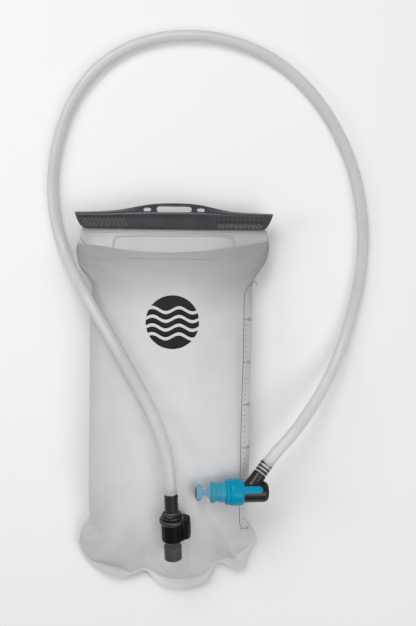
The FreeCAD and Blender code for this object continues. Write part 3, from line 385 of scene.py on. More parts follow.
def make_hose():
    """Clear drink tube, and the barbs under its stretched ends."""
    line, start = hose_line("drink_tube_line", HOSE_RADIUS)
    hose = bpy.data.objects.new("drink_tube_visual", line)
    bpy.context.scene.collection.objects.link(hose)
    line.materials.append(HOSE_CLEAR)
    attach(hose, "tube_assembly")
    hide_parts("drink_tube")
    ends = []
    for name, place, low, teeth, paint in HOSE_ENDS:
        barb, high = barb_profile(low, teeth)
        black = lathe(f"{name}_barb", barb, place, paint, "tube_assembly")
        skin = [(6.3, low + 0.5), (6.7, low + 0.5), (6.75, low + 8), (6.65, high - 1.5),
                (6.1, high + 2), (5.62, high + 5.5), (5.52, high + 5.5), (5.6, high + 2),
                (6.3, high - 1.5)]
        flare = lathe(f"{name}_hose_end", skin, place, HOSE_END, "tube_assembly", smooth_angle=60)
        ends += [black, flare]


# -------- films

LEFT_BAND = [(-88, 157.8), (-88.6, 150.5), (-91.2, 144.0)]
LEFT_SIDE = [(-91.2, 144.0), (-92.2, 136.2), (-88.5, 122.0), (-79.2, 110.2), (-77.0, 104.5),
             (-76.8, 95.7), (-77.9, 67.4), (-77.4, -3.3), (-77.2, -100.0), (-76.6, -112.5),
             (-84.2, -125.3), (-87.4, -142.6)]
RIGHT_BAND = [(88, 157.8), (88.4, 153.5), (89.6, 149.0)]
RIGHT_SIDE = [(89.6, 149.0), (90.0, 142.3), (89.0, 134.8), (85.4, 126.2), (77.5, 113.8),
              (74.7, 106.2), (74.9, 93.0), (74.4, 45.8), (74.0, -1.4), (73.9, -58.0), (73.2, -97.0),
              (70.6, -113.2), (76.4, -123.1), (82.3, -134.0)]
FOOT = [(-87.4, -142.6), (-83.5, -150.5), (-75.7, -160.4), (-64.1, -169.0), (-49.5, -173.6),
        (-37.1, -170.6), (-26.6, -166.5), (-20.8, -168.2), (-12.3, -177.5), (-2.7, -181.6),
        (9.1, -182.9), (22.1, -181.0), (33.9, -175.5), (40.2, -164.7), (43.0, -159.4),
        (48.5, -158.2), (56.8, -162.3), (64.7, -164.1), (71.0, -159.4), (74.3, -148.3),
        (82.3, -134.0)]
SMILE = [(-91.2, 144.0), (-64.6, 141.2), (-40.8, 137.6), (-3.2, 135.9), (29.5, 138.3),
         (64.2, 143.8), (89.6, 149.0)]
MOUTH_Y = 157.8
WELD_HEIGHT = 8.6
SEAM_RISE = 62.0
FOOT_WELD = 10.0
FOOT_RISE = 85.0
FOOT_SEAM = 1.6
FOOT_RIBS = (2.6, 5.4, 8.2)
RIB_RISE = 0.38
RIB_WIDTH = 0.55
FOOT_LOBES = [(9, -184, 30, 17), (66, -160, 15, 15), (-58, -168, 16, 10)]  # x, y, half width, half height
CROWN_POWER = 2.3
BELLY_POWER = 3.2
BELLY_START = 0.5
FILM_GAP = 0.7
FILM_LOWEST = 0.45
FILM_WALL = 0.35
FILM_COLUMNS = 221
BAND_ROWS = 22
BODY_ROWS = 250
EDGE_SHARE = 0.55
SECTIONS = np.array([  # along, top, seam, underside
    (-190, 50, 22, 0), (40, 50, 22, 0), (60, 49, 22, 0), (82, 46.5, 22, 0), (104, 42, 21, 0),
    (114, 38.5, 20, 1), (125, 34.5, 19.5, 4), (136, 30, 19.5, 9.5), (148, 27.2, 22, 16.5),
    (157.8, 25.7, 23, 20.3), (170, 25.7, 23, 20.3),
], float)
CREASES = [  # from x, y to x, y, width, height
    (-88, 139, -64, 120, 3.2, 1.3), (-91, 129, -70, 113, 2.4, -1.0), (-79, 111, -56, 103, 3.0, 1.0),
    (-74, 127, -40, 121, 4.0, 0.7), (88, 140, 64, 122, 3.0, 1.2), (84, 124, 62, 109, 2.5, -1.0),
    (76, 111, 56, 100, 3.0, 0.9), (70, 128, 34, 121, 4.0, 0.6), (-85, -141, -56, -127, 3.5, 1.3),
    (-82, -126, -60, -114, 3.0, -1.0), (-77, -112, -60, -98, 3.0, 0.9),
    (-72, -160, -52, -140, 3.5, 1.0), (80, -134, 54, -124, 3.5, 1.3),
    (72, -118, 54, -102, 3.0, -0.9), (66, -156, 50, -138, 3.5, 1.0),
    (-25, -162, -24, -138, 4.0, -1.6), (45, -153, 42, -130, 4.0, -1.6),
    (-18, 116, 20, 114, 3.5, 0.5),
]


def eased(value):
    """Smooth step from 0 to 1."""
    value = np.clip(value, 0, 1)
    return value * value * (3 - 2 * value)


def section_values(along):
    """Top, seam and underside heights, smoothed along the bag."""
    window = np.linspace(-9, 9, 13)
    weights = np.cos(window / 9.5 * math.pi / 2) ** 2
    weights /= weights.sum()
    return [sum(w * np.interp(np.minimum(along + s, 165), SECTIONS[:, 0], SECTIONS[:, k])
                for s, w in zip(window, weights)) for k in (1, 2, 3)]


def distance_to(points, line):
    """Shortest distance from points to a polyline's own points."""
    flat = points.reshape(-1, 2)
    best = np.full(len(flat), 1e9)
    for start in range(0, len(line), 40):
        part = line[start:start + 40]
        gaps = np.linalg.norm(flat[:, None, :] - part[None, :, :], axis=2)
        best = np.minimum(best, gaps.min(1))
    return best.reshape(points.shape[:-1])


def crease_height(x, y):
    """Sum of the film's soft folds."""
    total = np.zeros_like(x)
    for ax, ay, bx, by, width, height in CREASES:
        run = np.array((bx - ax, by - ay), float)
        length = np.linalg.norm(run)
        run /= length
        along = (x - ax) * run[0] + (y - ay) * run[1]
        off = -(x - ax) * run[1] + (y - ay) * run[0]
        share = np.clip(along / length, 0, 1)
        beyond = along - share * length
        fade = np.exp(-(beyond / 6) ** 2) * (1 - 0.75 * share)
        total += height * fade * np.exp(-(off / width) ** 2)
    return total


def coons(top, bottom, left, right, rows, columns):
    """Grid between four curves; rows and columns are shares from 0 to 1."""
    r = rows[:, None, None]
    c = columns[None, :, None]
    across = (1 - r) * top[None] + r * bottom[None]
    along = (1 - c) * left[:, None] + c * right[:, None]
    corners = ((1 - r) * (1 - c) * top[0] + (1 - r) * c * top[-1]
               + r * (1 - c) * bottom[0] + r * c * bottom[-1])
    return across + along - corners


def film_plan():
    """Plan positions of the film's grid and its column shares, closer together at the sides."""
    even = np.linspace(0, 1, FILM_COLUMNS)
    columns = (1 - EDGE_SHARE) * even + EDGE_SHARE * (0.5 - 0.5 * np.cos(math.pi * even))
    band_rows = np.linspace(0, 1, BAND_ROWS)
    body_rows = 1 - (1 - np.linspace(0, 1, BODY_ROWS)) ** 1.45
    mouth = np.stack([np.interp(columns, [0, 1], [LEFT_BAND[0][0], RIGHT_BAND[0][0]]),
                      np.full(len(columns), MOUTH_Y)], axis=1)
    smile = resampled(SMILE, columns)
    band = coons(mouth, smile, resampled(LEFT_BAND, band_rows), resampled(RIGHT_BAND, band_rows),
                 band_rows, columns)
    body = coons(smile, resampled(FOOT, columns), resampled(LEFT_SIDE, body_rows),
                 resampled(RIGHT_SIDE, body_rows), body_rows, columns)
    return np.concatenate([band, body[1:]]), columns


def film_ripple(plan):
    """Slight unevenness of the filled film."""
    return np.array([noise.noise((x / 34, y / 46, 3)) * 0.55 + noise.noise((x / 12, y / 15, 9)) * 0.10
                     for x, y in plan.reshape(-1, 2)]).reshape(plan.shape[:2])


def film_heights(plan, columns):
    """Heights of the front and the back film over the plan."""
    x, y = plan[..., 0], plan[..., 1]
    top, seam, under = section_values(y)
    gap = distance_to(plan, smooth_curve(FOOT, 0.7))
    base = WELD_HEIGHT + (seam - WELD_HEIGHT) * eased(gap / SEAM_RISE)
    across = np.abs(2 * columns - 1)[None, :] * np.ones_like(x)
    crown = (1 - across ** CROWN_POWER) ** (1 / CROWN_POWER)
    lobes = sum(np.exp(-((x - lx) / wide) ** 4 - ((y - ly) / tall) ** 4)
                for lx, ly, wide, tall in FOOT_LOBES)
    weld = FOOT_SEAM + (FOOT_WELD - FOOT_SEAM) * lobes
    rise = (1 - (1 - np.clip((gap - weld) / FOOT_RISE, 0, 1)) ** 1.5) ** (1 / 1.15)
    ribs = lobes * sum(np.exp(-((gap - place) / RIB_WIDTH) ** 2) for place in FOOT_RIBS)
    calm = eased(gap / 26) * eased((1 - across) / 0.10) * eased((150 - y) / 14)
    creases = crease_height(x, y) * eased(gap / 12) * eased((1 - across) / 0.05)
    front = base + (top - base) * crown * rise + RIB_RISE * ribs + film_ripple(plan) * calm + creases
    slack = np.clip((across - BELLY_START) / (1 - BELLY_START), 0, 1)
    belly = (1 - slack ** BELLY_POWER) ** (1 / BELLY_POWER)
    back = base - (base - under) * belly * eased((gap - 7) / 20)
    return front, np.maximum(np.minimum(back, front - FILM_GAP), FILM_LOWEST)


def film_piece(name, plan, heights, flip):
    """One film with its thickness; the band over the smile line stays clear."""
    rows, columns = plan.shape[:2]
    verts = np.concatenate([plan, heights[..., None]], axis=2).reshape(-1, 3)
    faces = []
    for row in range(rows - 1):
        for column in range(columns - 1):
            a = row * columns + column
            quad = (a, a + columns, a + columns + 1, a + 1)
            faces.append(quad[::-1] if flip else quad)
    piece = mesh_piece(name, verts, faces, FILM_MATTE, "reservoir", mend=False)
    piece.data.materials.append(FILM_CLEAR)
    kinds = np.zeros(len(faces), np.int32)
    kinds[:(BAND_ROWS - 1) * (columns - 1)] = 1
    piece.data.polygons.foreach_set("material_index", kinds)
    wall = piece.modifiers.new("Wall", "SOLIDIFY")
    wall.thickness = FILM_WALL * MM
    wall.offset = -1
    return piece


def make_films():
    """Front and back films; gives back what finds the front film's height."""
    plan, columns = film_plan()
    front, back = film_heights(plan, columns)
    face = film_piece("front_film", plan, front, False)
    rear = film_piece("back_film", plan, back, True)
    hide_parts("bag_front_panel")
    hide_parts("bag_back_panel")
    work = bmesh.new()
    work.from_mesh(face.data)
    tree = BVHTree.FromBMesh(work)
    work.free()

    def height(x, y):
        """Height of the front film, in millimetres."""
        hit = tree.ray_cast(Vector((x * MM, y * MM, 0.2)), Vector((0, 0, -1)))
        if hit[0] is None:
            hit = tree.find_nearest(Vector((x * MM, y * MM, 0.02)))
        return hit[0].z / MM
    return height


# -------- what lies on the film

BEAD_SECTION = [(-0.5, 0.0), (-0.3, 0.8), (0.0, 1.0), (0.3, 0.8), (0.5, 0.0)]  # shares of width and rise
BEAD_SINK = 0.15


def bead(name, points, width, rise, height, paint, spacing=1.2):
    """Low rounded ridge or printed line that follows the film."""
    line = smooth_curve(points, spacing) if len(points) > 2 else np.array(
        [np.array(points[0]) + (np.array(points[1]) - np.array(points[0])) * t
         for t in np.linspace(0, 1, max(2, round(math.dist(*points) / spacing) + 1))])
    ahead = np.gradient(line, axis=0)
    ahead /= np.linalg.norm(ahead, axis=1)[:, None]
    side = np.stack([-ahead[:, 1], ahead[:, 0]], axis=1)
    verts, faces = [], []
    for point, out in zip(line, side):
        ring = []
        for share, up in BEAD_SECTION:
            x, y = point + out * share * width
            ring.append((x, y, height(x, y) + up * rise + 0.02))
        x, y = point
        ring.append((x, y, height(x, y) - BEAD_SINK))
        verts += ring
    count = len(BEAD_SECTION) + 1
    for step in range(len(line) - 1):
        for k in range(count):
            a, b = step * count + k, step * count + (k + 1) % count
            faces.append((a, b, b + count, a + count))
    faces += [tuple(range(count))[::-1], tuple(range((len(line) - 1) * count, len(line) * count))]
    return mesh_piece(name, verts, faces, paint, "reservoir")


def joined(name, pieces):
    """One object from several."""
    with bpy.context.temp_override(active_object=pieces[0], object=pieces[0],
                                   selected_editable_objects=pieces, selected_objects=pieces):
        bpy.ops.object.join()
    pieces[0].name = name
    return pieces[0]


EMBLEM_CENTRE = Vector((0.5, 71.4))
EMBLEM_RADIUS = 24.6
EMBLEM_BANDS = [(12.5, 30.0), (4.5, 9.5), (-3.5, 1.5), (-11.5, -6.5), (-30.0, -14.5)]  # low and high edge
EMBLEM_COLUMNS = 90
WAVE_HEIGHT = 2.3
WAVE_STRETCH = 3.9
EMBLEM_LIFT = 0.10
EMBLEM_INK = 0.08


def band_columns(low, high):
    """Lower and upper end of each column of one wavy band, cut by the disc."""
    reach = EMBLEM_RADIUS - 0.15
    columns = []
    for x in np.linspace(-reach, reach, EMBLEM_COLUMNS):
        limit = math.sqrt(EMBLEM_RADIUS ** 2 - x ** 2)
        wave = WAVE_HEIGHT * math.sin(x / WAVE_STRETCH)
        bottom, top = max(low + wave, -limit), min(high + wave, limit)
        columns.append((x, bottom, top) if top > bottom + 0.05 else None)
    return columns


def make_emblem(height):
    """Plain disc crossed by waves."""
    verts, faces = [], []
    for low, high in EMBLEM_BANDS:
        columns = band_columns(low, high)
        parts = max(1, round((high - low) / 3))
        for before, after in zip(columns, columns[1:]):
            if before is None or after is None:
                continue
            for k in range(parts):
                start = len(verts)
                for x, bottom, top in (before, after):
                    for share in (k / parts, (k + 1) / parts):
                        px = EMBLEM_CENTRE.x + x
                        py = EMBLEM_CENTRE.y + bottom + (top - bottom) * share
                        verts.append((px, py, height(px, py) + EMBLEM_LIFT))
                faces.append((start, start + 2, start + 3, start + 1))
    emblem = mesh_piece("wave_emblem", verts, faces, INK_AND_SLIT_SHADE, "reservoir")
    ink = emblem.modifiers.new("Ink", "SOLIDIFY")
    ink.thickness = EMBLEM_INK * MM
    ink.offset = 1


SCALE_LINE = [(74.0, 108.5), (69.5, 104.0), (66.8, 96.0), (66.6, 75.0), (66.2, 35.0), (65.4, -4.0),
              (65.0, -44.0), (64.9, -84.0), (65.3, -112.0), (66.0, -119.5), (68.4, -123.6)]
# numeral and place along the bag
MAJOR_MARKS = {60: 75.0, 50: 34.9, 40: -4.5, 30: -44.5, 20: -84.0, 10: -123.6}
MINOR_STEPS = 8
LIMIT_Y = 130.1
LIMIT_LEFT = -40.5
LIMIT_LENGTH = 76.7
LIMIT_DOTS = 27
DOT_HALF = 0.45


def make_fill_marks(height):
    """Fill scale and the dotted fill limit."""
    lines = [bead("scale_line", SCALE_LINE, 0.55, 0.09, height, INK_GREY_AND_FOLD_SHADE)]
    majors = list(MAJOR_MARKS.values())
    for along, following in zip(majors, [*majors[1:], None]):
        lines.append(bead("major", [(66.4, along), (69.6, along)], 0.6, 0.09, height, INK_GREY_AND_FOLD_SHADE))
        if following is None:
            continue
        step = (following - along) / MINOR_STEPS
        for k in range(1, MINOR_STEPS):
            place = along + k * step
            lines.append(bead("minor", [(67.9, place), (69.3, place)], 0.45, 0.08, height, INK_GREY_AND_FOLD_SHADE))
    for k in range(LIMIT_DOTS):
        x = LIMIT_LEFT + LIMIT_LENGTH * k / (LIMIT_DOTS - 1)
        dot = [(x - DOT_HALF, LIMIT_Y), (x + DOT_HALF, LIMIT_Y)]
        lines.append(bead("dot", dot, 0.6, 0.08, height, INK_GREY_AND_FOLD_SHADE, DOT_HALF))
    joined("fill_marks", lines)


NUMERAL_SIZE = 4.4
NUMERAL_LEFT = 69.9
NUMERAL_DROP = 1.5
NUMERAL_INK = 0.05
NUMERAL_LIFT = 0.1


def make_numerals(height):
    """Numerals beside the fill scale, laid on the film."""
    numerals = []
    for number, along in MAJOR_MARKS.items():
        text = bpy.data.curves.new("numeral", "FONT")
        text.body = str(number)
        text.size = NUMERAL_SIZE * MM
        text.extrude = NUMERAL_INK * MM
        text.resolution_u = 4
        shape = bpy.data.objects.new("numeral", text)
        bpy.context.scene.collection.objects.link(shape)
        data = bpy.data.meshes.new_from_object(shape)
        bpy.data.objects.remove(shape)
        for vert in data.vertices:
            x, y = NUMERAL_LEFT + vert.co.x / MM, along - NUMERAL_DROP + vert.co.y / MM
            vert.co = (x * MM, y * MM, (height(x, y) + NUMERAL_LIFT) * MM + vert.co.z)
        data.materials.clear()
        data.materials.append(INK_GREY_AND_FOLD_SHADE)
        numeral = bpy.data.objects.new(f"numeral_{number}", data)
        bpy.context.scene.collection.objects.link(numeral)
        numerals.append(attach(numeral, "reservoir"))
    joined("fill_numerals", numerals)


def make_film_details(height):
    """Welded frame under the closure, the band and smile welds, and dark grey lines of painted shade
    along the folds at the shoulders.
    """
    window = [(-57.2, 140.4), (-56.4, 143.8), (-55.6, 148.5), (-52.0, 151.2), (-40.0, 151.9),
              (0.0, 152.4), (40.0, 152.9), (51.5, 152.4), (55.2, 149.6), (56.2, 145.6),
              (57.0, 142.9)]
    band = [(-86.5, 155.4), (-40, 155.2), (0, 155.2), (40, 155.2), (86.5, 155.4)]
    welds = [bead("closure_window", window, 2.0, 0.5, height, FILM_CLEAR),
             bead("band_weld", band, 1.6, 0.35, height, FILM_CLEAR),
             bead("smile_weld", SMILE, 0.9, 0.22, height, FILM_CLEAR)]
    joined("closure_welds", welds)
    # The shoulder folds are dark grey lines: painted shade along the creases, over a low ridge.
    folds = [
        bead("fold", [(-88.0, 149.8), (-86.0, 147.0), (-82.5, 143.6)], 0.5, 0.2, height, INK_GREY_AND_FOLD_SHADE, 0.8),
        bead("fold", [(73.8, 110.0), (77.0, 110.4), (79.0, 107.6)], 0.5, 0.2, height, INK_GREY_AND_FOLD_SHADE, 0.8),
    ]
    joined("shoulder_fold_shade", folds)


PATCH_CENTRE = (0.0, -136.5)
PATCH_HALF = (20.0, 33.0)
PATCH_CORNER = 7.0
PATCH_LIFT = 1.1
PATCH_RINGS = [(0.0, 0.05), (0.5, 0.75), (1.1, 1.05),  # inset from the rim, height over the film
               *[(inset, PATCH_LIFT) for inset in (2.2, 5, 9, 14, 18.5)]]
PATCH_STEPS = 160


def patch_point(angle, inset):
    """Point of the patch's rounded outline, drawn in by an inset, seen at an angle from its centre."""
    a, b = PATCH_HALF[0] - inset, PATCH_HALF[1] - inset
    radius = min(max(PATCH_CORNER - inset, 0.6), a)
    dx, dy = math.cos(angle), math.sin(angle)
    reach = min(a / max(abs(dx), 1e-6), b / max(abs(dy), 1e-6))
    x, y = dx * reach, dy * reach
    flat_x, flat_y = a - radius, b - radius
    if abs(x) > flat_x and abs(y) > flat_y:
        out = Vector((abs(x) - flat_x, abs(y) - flat_y)).normalized() * radius
        x, y = math.copysign(flat_x + out.x, x), math.copysign(flat_y + out.y, y)
    return PATCH_CENTRE[0] + x, PATCH_CENTRE[1] + y


def make_patch(height):
    """Clear welded patch around the port."""
    verts, faces = [], []
    for inset, lift in PATCH_RINGS:
        for step in range(PATCH_STEPS):
            x, y = patch_point(math.tau * step / PATCH_STEPS, inset)
            verts.append((x, y, height(x, y) + lift))
    last = (len(PATCH_RINGS) - 1) * PATCH_STEPS
    for low in range(0, last, PATCH_STEPS):
        for step in range(PATCH_STEPS):
            a, b = low + step, low + (step + 1) % PATCH_STEPS
            faces.append((a, b, b + PATCH_STEPS, a + PATCH_STEPS))
    verts.append((*PATCH_CENTRE, height(*PATCH_CENTRE) + PATCH_LIFT))
    faces += [(last + s, last + (s + 1) % PATCH_STEPS, len(verts) - 1) for s in range(PATCH_STEPS)]
    patch = mesh_piece("port_patch", verts, faces, PATCH_CLEAR, "reservoir")
    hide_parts("port_base")


FAIRING_START = -20.5
FAIRING_LENGTH = 35.5
FAIRING_ARCHES = 34
FAIRING_STEPS = 24
FAIRING_CREST = 10.1
FAIRING_NARROW = 10.4
FAIRING_WIDENS = 3.8
FAIRING_CLOSES = 0.62
FAIRING_WALL = 0.5


def fairing_arch(share, height):
    """One arch of the fairing at a share of its length along the spout."""
    axis = PORT.to_3x3() @ Vector((0, 0, 1))
    centre = Vector(PORT_MOUTH) + axis * (FAIRING_START - FAIRING_LENGTH * share)
    closing = max(0.0, (share - FAIRING_CLOSES) / (1 - FAIRING_CLOSES))
    fullness = math.sqrt(max(0.0, 1 - closing ** 2.2))
    half = FAIRING_NARROW + FAIRING_WIDENS * float(eased(np.array(share / 0.25)))
    half = max(half * (0.25 + 0.75 * fullness), 1.0)
    crest = centre.z + FAIRING_CREST
    arch = []
    for step in range(FAIRING_STEPS + 1):
        angle = math.pi * step / FAIRING_STEPS
        reach = math.copysign(abs(math.cos(angle)) ** 0.75, math.cos(angle)) * half
        x = centre.x + reach
        foot = height(x, centre.y) + 0.9
        arch.append((x, centre.y, foot + max(crest - foot, 0.3) * fullness * math.sin(angle) ** 0.62))
    return arch


def make_fairing(height):
    """Clear vault of the patch over the spout."""
    arches = [fairing_arch(share, height) for share in np.linspace(0, 1, FAIRING_ARCHES)]
    count = FAIRING_STEPS + 1
    faces = [(r * count + k, r * count + k + 1, (r + 1) * count + k + 1, (r + 1) * count + k)
             for r in range(len(arches) - 1) for k in range(count - 1)]
    verts = [vert for arch in arches for vert in arch]
    fairing = mesh_piece("spout_fairing", verts, faces, PATCH_CLEAR, "reservoir")
    wall = fairing.modifiers.new("Wall", "SOLIDIFY")
    wall.thickness = FAIRING_WALL * MM
    wall.offset = -1


# -------- closure bar

BAR_MIDDLE = 23.0
BAR_HALF = 92.8
BAR_FACE_LOW = 158.2
BAR_FACE_HIGH = 168.6
BAR_FACE = 29.5
BAR_TOP = 174.5
GRIP_TOP = [(-92.8, 174.2), (-84, 174.3), (-70, 174.8), (-55.9, 175.9), (-46.5, 177.3), (-37, 179.2),
            (-27.7, 181.0), (-18.2, 182.3), (-8.8, 182.9), (0, 183.0), (10, 182.9), (19.5, 182.3),
            (28.9, 180.9), (38.4, 178.8), (47.8, 176.9), (57.3, 175.6), (71.5, 174.8), (92.8, 174.2)]
BAR_OUTSIDE = [  # along, height: lower lip, face, ridge, rounded top and underside
    (158.2, 26.0), (158.2, 27.7), (158.5, 28.8),
    *[(y, BAR_FACE) for y in np.linspace(159.6, BAR_FACE_HIGH, 15)],
    (169.3, 29.75), (170.0, 30.3), (170.8, 30.35), (171.8, 30.0), (172.6, 29.0), (173.4, 27.6),
    (174.1, 26.0), (174.5, 24.4), (174.5, 21.6), (174.1, 20.0), (173.3, 18.6), (172.0, 17.4),
    (169.8, 16.7), (165.0, 16.5), (159.8, 16.5), (158.6, 17.1), (158.2, 18.3), (158.2, 20.0),
]
BAR_CHANNEL = [(162.7, 20.0), (162.7, 18.5), (168.6, 18.5), (168.6, 27.5), (162.7, 27.5), (162.7, 26.0)]
BAR_STATIONS = [(-92.8, -86, 0.35), (-88, -43, 0.42), (-43, 40, 1.3), (40, 84, 0.42), (84, 92.9, 0.35)]
CORNER_START = 79.0
CORNER_RISE = 14.5
END_ROUNDING = 1.2
GROOVE_LOW, GROOVE_HIGH = 159.4, 167.9
GROOVE_DEPTH = 0.75
GROOVE_FADE = 0.9
SLASHES = (-87.5, -43.5)
SLASH_PITCH, SLASH_LEAN = 3.65, 0.55
CHEVRONS = (40.5, 83.0)
CHEVRON_PITCH, CHEVRON_LEAN = 4.1, 0.85
FINGER_SLOT = (0.0, 177.3, 33.6, 6.6)
HANGING_SLOTS = [(-25.2, 176.6, 7.4, 3.9), (25.2, 176.6, 7.4, 3.9)]
SLOT_STEPS = 14
RIM_RADIUS = 0.55
RIM_STEPS = 10


def groove_depth(x, y):
    """Depth of the slanted grooves on the left and the chevrons on the right of the bar's face."""
    if not GROOVE_LOW < y < GROOVE_HIGH:
        return 0.0
    fade = min(1.0, (y - GROOVE_LOW) / GROOVE_FADE, (GROOVE_HIGH - y) / GROOVE_FADE)
    if SLASHES[0] < x < SLASHES[1]:
        wave = (x - (y - 159) * SLASH_LEAN) / SLASH_PITCH
    elif CHEVRONS[0] < x < CHEVRONS[1]:
        wave = (x + abs(y - 163.6) * CHEVRON_LEAN) / CHEVRON_PITCH
    else:
        return 0.0
    return GROOVE_DEPTH * fade * max(0.0, math.sin(wave * math.tau)) ** 0.8


def bar_ring(x, top):
    """Section of the bar at a place along it, stretched up to the grip's top there."""
    lift = (top - BAR_FACE_HIGH) / (BAR_TOP - BAR_FACE_HIGH)
    corner = max(0.0, (abs(x) - CORNER_START) / (BAR_HALF - CORNER_START))
    front = BAR_FACE_LOW + CORNER_RISE * corner ** 3.2
    ending = max(0.0, (abs(x) - (BAR_HALF - END_ROUNDING)) / END_ROUNDING)
    shrink = 1 - 0.16 * ending ** 2
    ring = []
    for y, z in BAR_OUTSIDE:
        dip = groove_depth(x, y) if z == BAR_FACE else 0.0
        if y > BAR_FACE_HIGH:
            y = BAR_FACE_HIGH + (y - BAR_FACE_HIGH) * lift
        thin = 1 - 0.34 * float(eased(np.array((y - 172.5) / 5.5)))
        z = BAR_MIDDLE + (z - dip - BAR_MIDDLE) * thin
        ring.append((x, max(y, front), BAR_MIDDLE + (z - BAR_MIDDLE) * shrink))
    return ring + [(x, max(y, front + 0.4), z) for y, z in BAR_CHANNEL]


def cut_slot(bar, slot):
    """Cuts one of the grip's slots through the bar."""
    cutter = prism("cutter", slot_outline(*slot), 5, 40, Matrix.Identity(4), SLIDER_GREY,
                   "slide_bar", 0.01)
    cutter.modifiers.clear()
    cut = bar.modifiers.new("Hole", "BOOLEAN")
    cut.object = cutter
    cut.operation = "DIFFERENCE"
    cut.solver = "EXACT"
    apply_modifiers(bar)
    bpy.data.objects.remove(cutter)


def make_bar():
    """Closure bar: channel section with grip, ridge, grooves and three slots."""
    stations = [np.arange(*station) for station in BAR_STATIONS]
    places = np.unique(np.concatenate([*stations, [BAR_HALF]]).round(3))
    top_line = smooth_curve(GRIP_TOP, 0.5)
    rings = [bar_ring(x, float(np.interp(x, top_line[:, 0], top_line[:, 1]))) for x in places]
    count = len(rings[0])
    faces = [(r * count + k, r * count + (k + 1) % count,
              (r + 1) * count + (k + 1) % count, (r + 1) * count + k)
             for r in range(len(rings) - 1) for k in range(count)]
    faces.append(tuple(range(count))[::-1])
    faces.append(tuple((len(rings) - 1) * count + k for k in range(count)))
    verts = [vert for ring in rings for vert in ring]
    bar = mesh_piece("closure_bar", verts, faces, SLIDER_GREY, "slide_bar")
    for slot in (FINGER_SLOT, *HANGING_SLOTS):
        cut_slot(bar, slot)
    sharpen(bar, 42)
    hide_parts("slide_seal_bar")


def make_bar_trim():
    """Rounded rims of the finger slot, and the stop at the bar's right end."""
    x, y, length, width = FINGER_SLOT
    outline = slot_outline(x, y, length + 0.6, width + 0.6)
    for name, z in (("slot_rim_front", 27.2), ("slot_rim_back", 18.8)):
        ring_tube(name, outline, z, SLIDER_GREY, "slide_bar")
    stop = prism("bar_end_stop", [(90.3, 168.4), (91.6, 169.6), (91.6, 170.6), (90.3, 170.6)],
                 18.2, 27.8, Matrix.Identity(4), SLIDER_GREY, "slide_bar", 0.3)


def slot_outline(cx, cy, length, width):
    """Outline of a slot with round ends."""
    radius, reach = width / 2, (length - width) / 2
    points = []
    for side, start in ((1, -math.pi / 2), (-1, math.pi / 2)):
        for step in range(SLOT_STEPS + 1):
            angle = start + math.pi * step / SLOT_STEPS
            points.append((cx + side * reach + radius * math.cos(angle), cy + radius * math.sin(angle)))
    return points


def ring_tube(name, outline, z, paint, body):
    """Round bead along a closed outline."""
    verts, faces = [], []
    count = len(outline)
    for k, (x, y) in enumerate(outline):
        before, after = outline[k - 1], outline[(k + 1) % count]
        ahead = Vector((after[0] - before[0], after[1] - before[1])).normalized()
        for step in range(RIM_STEPS):
            angle = math.tau * step / RIM_STEPS
            out = RIM_RADIUS * math.cos(angle)
            verts.append((x + ahead.y * out, y - ahead.x * out, z + RIM_RADIUS * math.sin(angle)))
    for k in range(count):
        here, there = k * RIM_STEPS, (k + 1) % count * RIM_STEPS
        for step in range(RIM_STEPS):
            following = (step + 1) % RIM_STEPS
            faces.append((here + step, here + following, there + following, there + step))
    return mesh_piece(name, verts, faces, paint, body)


def apply_modifiers(piece):
    """Bakes the piece's modifiers into its mesh."""
    bpy.context.view_layer.update()
    view = piece.evaluated_get(bpy.context.evaluated_depsgraph_get())
    data = bpy.data.meshes.new_from_object(view)
    piece.modifiers.clear()
    piece.data = data


# -------- coupling

BUTTON_PLACE = Vector((11.6, 0.4))
BUTTON_RADIUS = 5.0
BUTTON_STRETCH = 1.35
BUTTON_SEAT = 12.35
BUTTON_LOW, BUTTON_HIGH = -15.4, 3.4
BUTTON_RIBS = 5
RIB_PLACE = (16.5, 0.4, -12.5)
RIB_PITCH = 2.6
CHEEK = [(3.0, 8.6), (7.6, 8.6), (9.6, 7.0), (10.9, 3.6), (11.1, 0.0), (10.9, -3.6), (9.6, -7.0),
         (7.6, -8.6), (3.0, -8.6)]
CHEEKS = [("housing_cheek", -16.5, -0.2, BLACK), ("housing_head", 3.0, 3.5, SATIN_BLACK)]
FLANGE = [(5.4, 3.3), (10.2, 3.6), (11.1, 3.3), (11.4, 2.7), (11.4, 0.6), (11.0, -0.3), (10.0, -0.9),
          (9.6, -1.6), (5.4, -1.6)]
PARTING_BEAD = [(9.5, -6.0), (9.98, -5.8), (9.98, -5.4), (9.5, -5.2)]
PLUG_COLLAR = [(4.1, 3.9), (8.6, 3.9), (9.2, 4.3), (9.35, 5.2), (9.2, 6.4), (8.4, 6.9), (8.2, 7.4),
               (8.6, 8.0), (8.2, 8.6), (6.4, 8.7), (4.1, 8.7)]


def make_button():
    """Release button on the side of the coupling, with its grip ribs."""
    outline = []
    for step in range(17):
        angle = math.radians(-74 + 148 * step / 16)
        outline.append((BUTTON_PLACE.x + BUTTON_RADIUS * math.cos(angle),
                        BUTTON_PLACE.y + BUTTON_RADIUS * BUTTON_STRETCH * math.sin(angle)))
    for step in range(13):
        angle = math.radians(40 - 80 * step / 12)
        outline.append((BUTTON_SEAT * math.cos(angle), BUTTON_SEAT * math.sin(angle)))
    button = prism("release_button", outline, BUTTON_LOW, BUTTON_HIGH, PORT, BLACK,
                   "release_latch", 0.5)
    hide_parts("thumb_button")
    ribs = []
    for k in range(BUTTON_RIBS):
        place = Matrix.Translation(Vector(RIB_PLACE) + Vector((0, 0, RIB_PITCH * k)))
        ribs.append(lathe("rib", [(0.05, -0.35), (0.35, -0.25), (0.35, 0.25), (0.05, 0.35)],
                          PORT @ place @ Matrix.Diagonal(Vector((1.0, 9.0, 1.0, 1.0))),
                          BLACK, "release_latch", 20))
    joined("button_ribs", ribs)


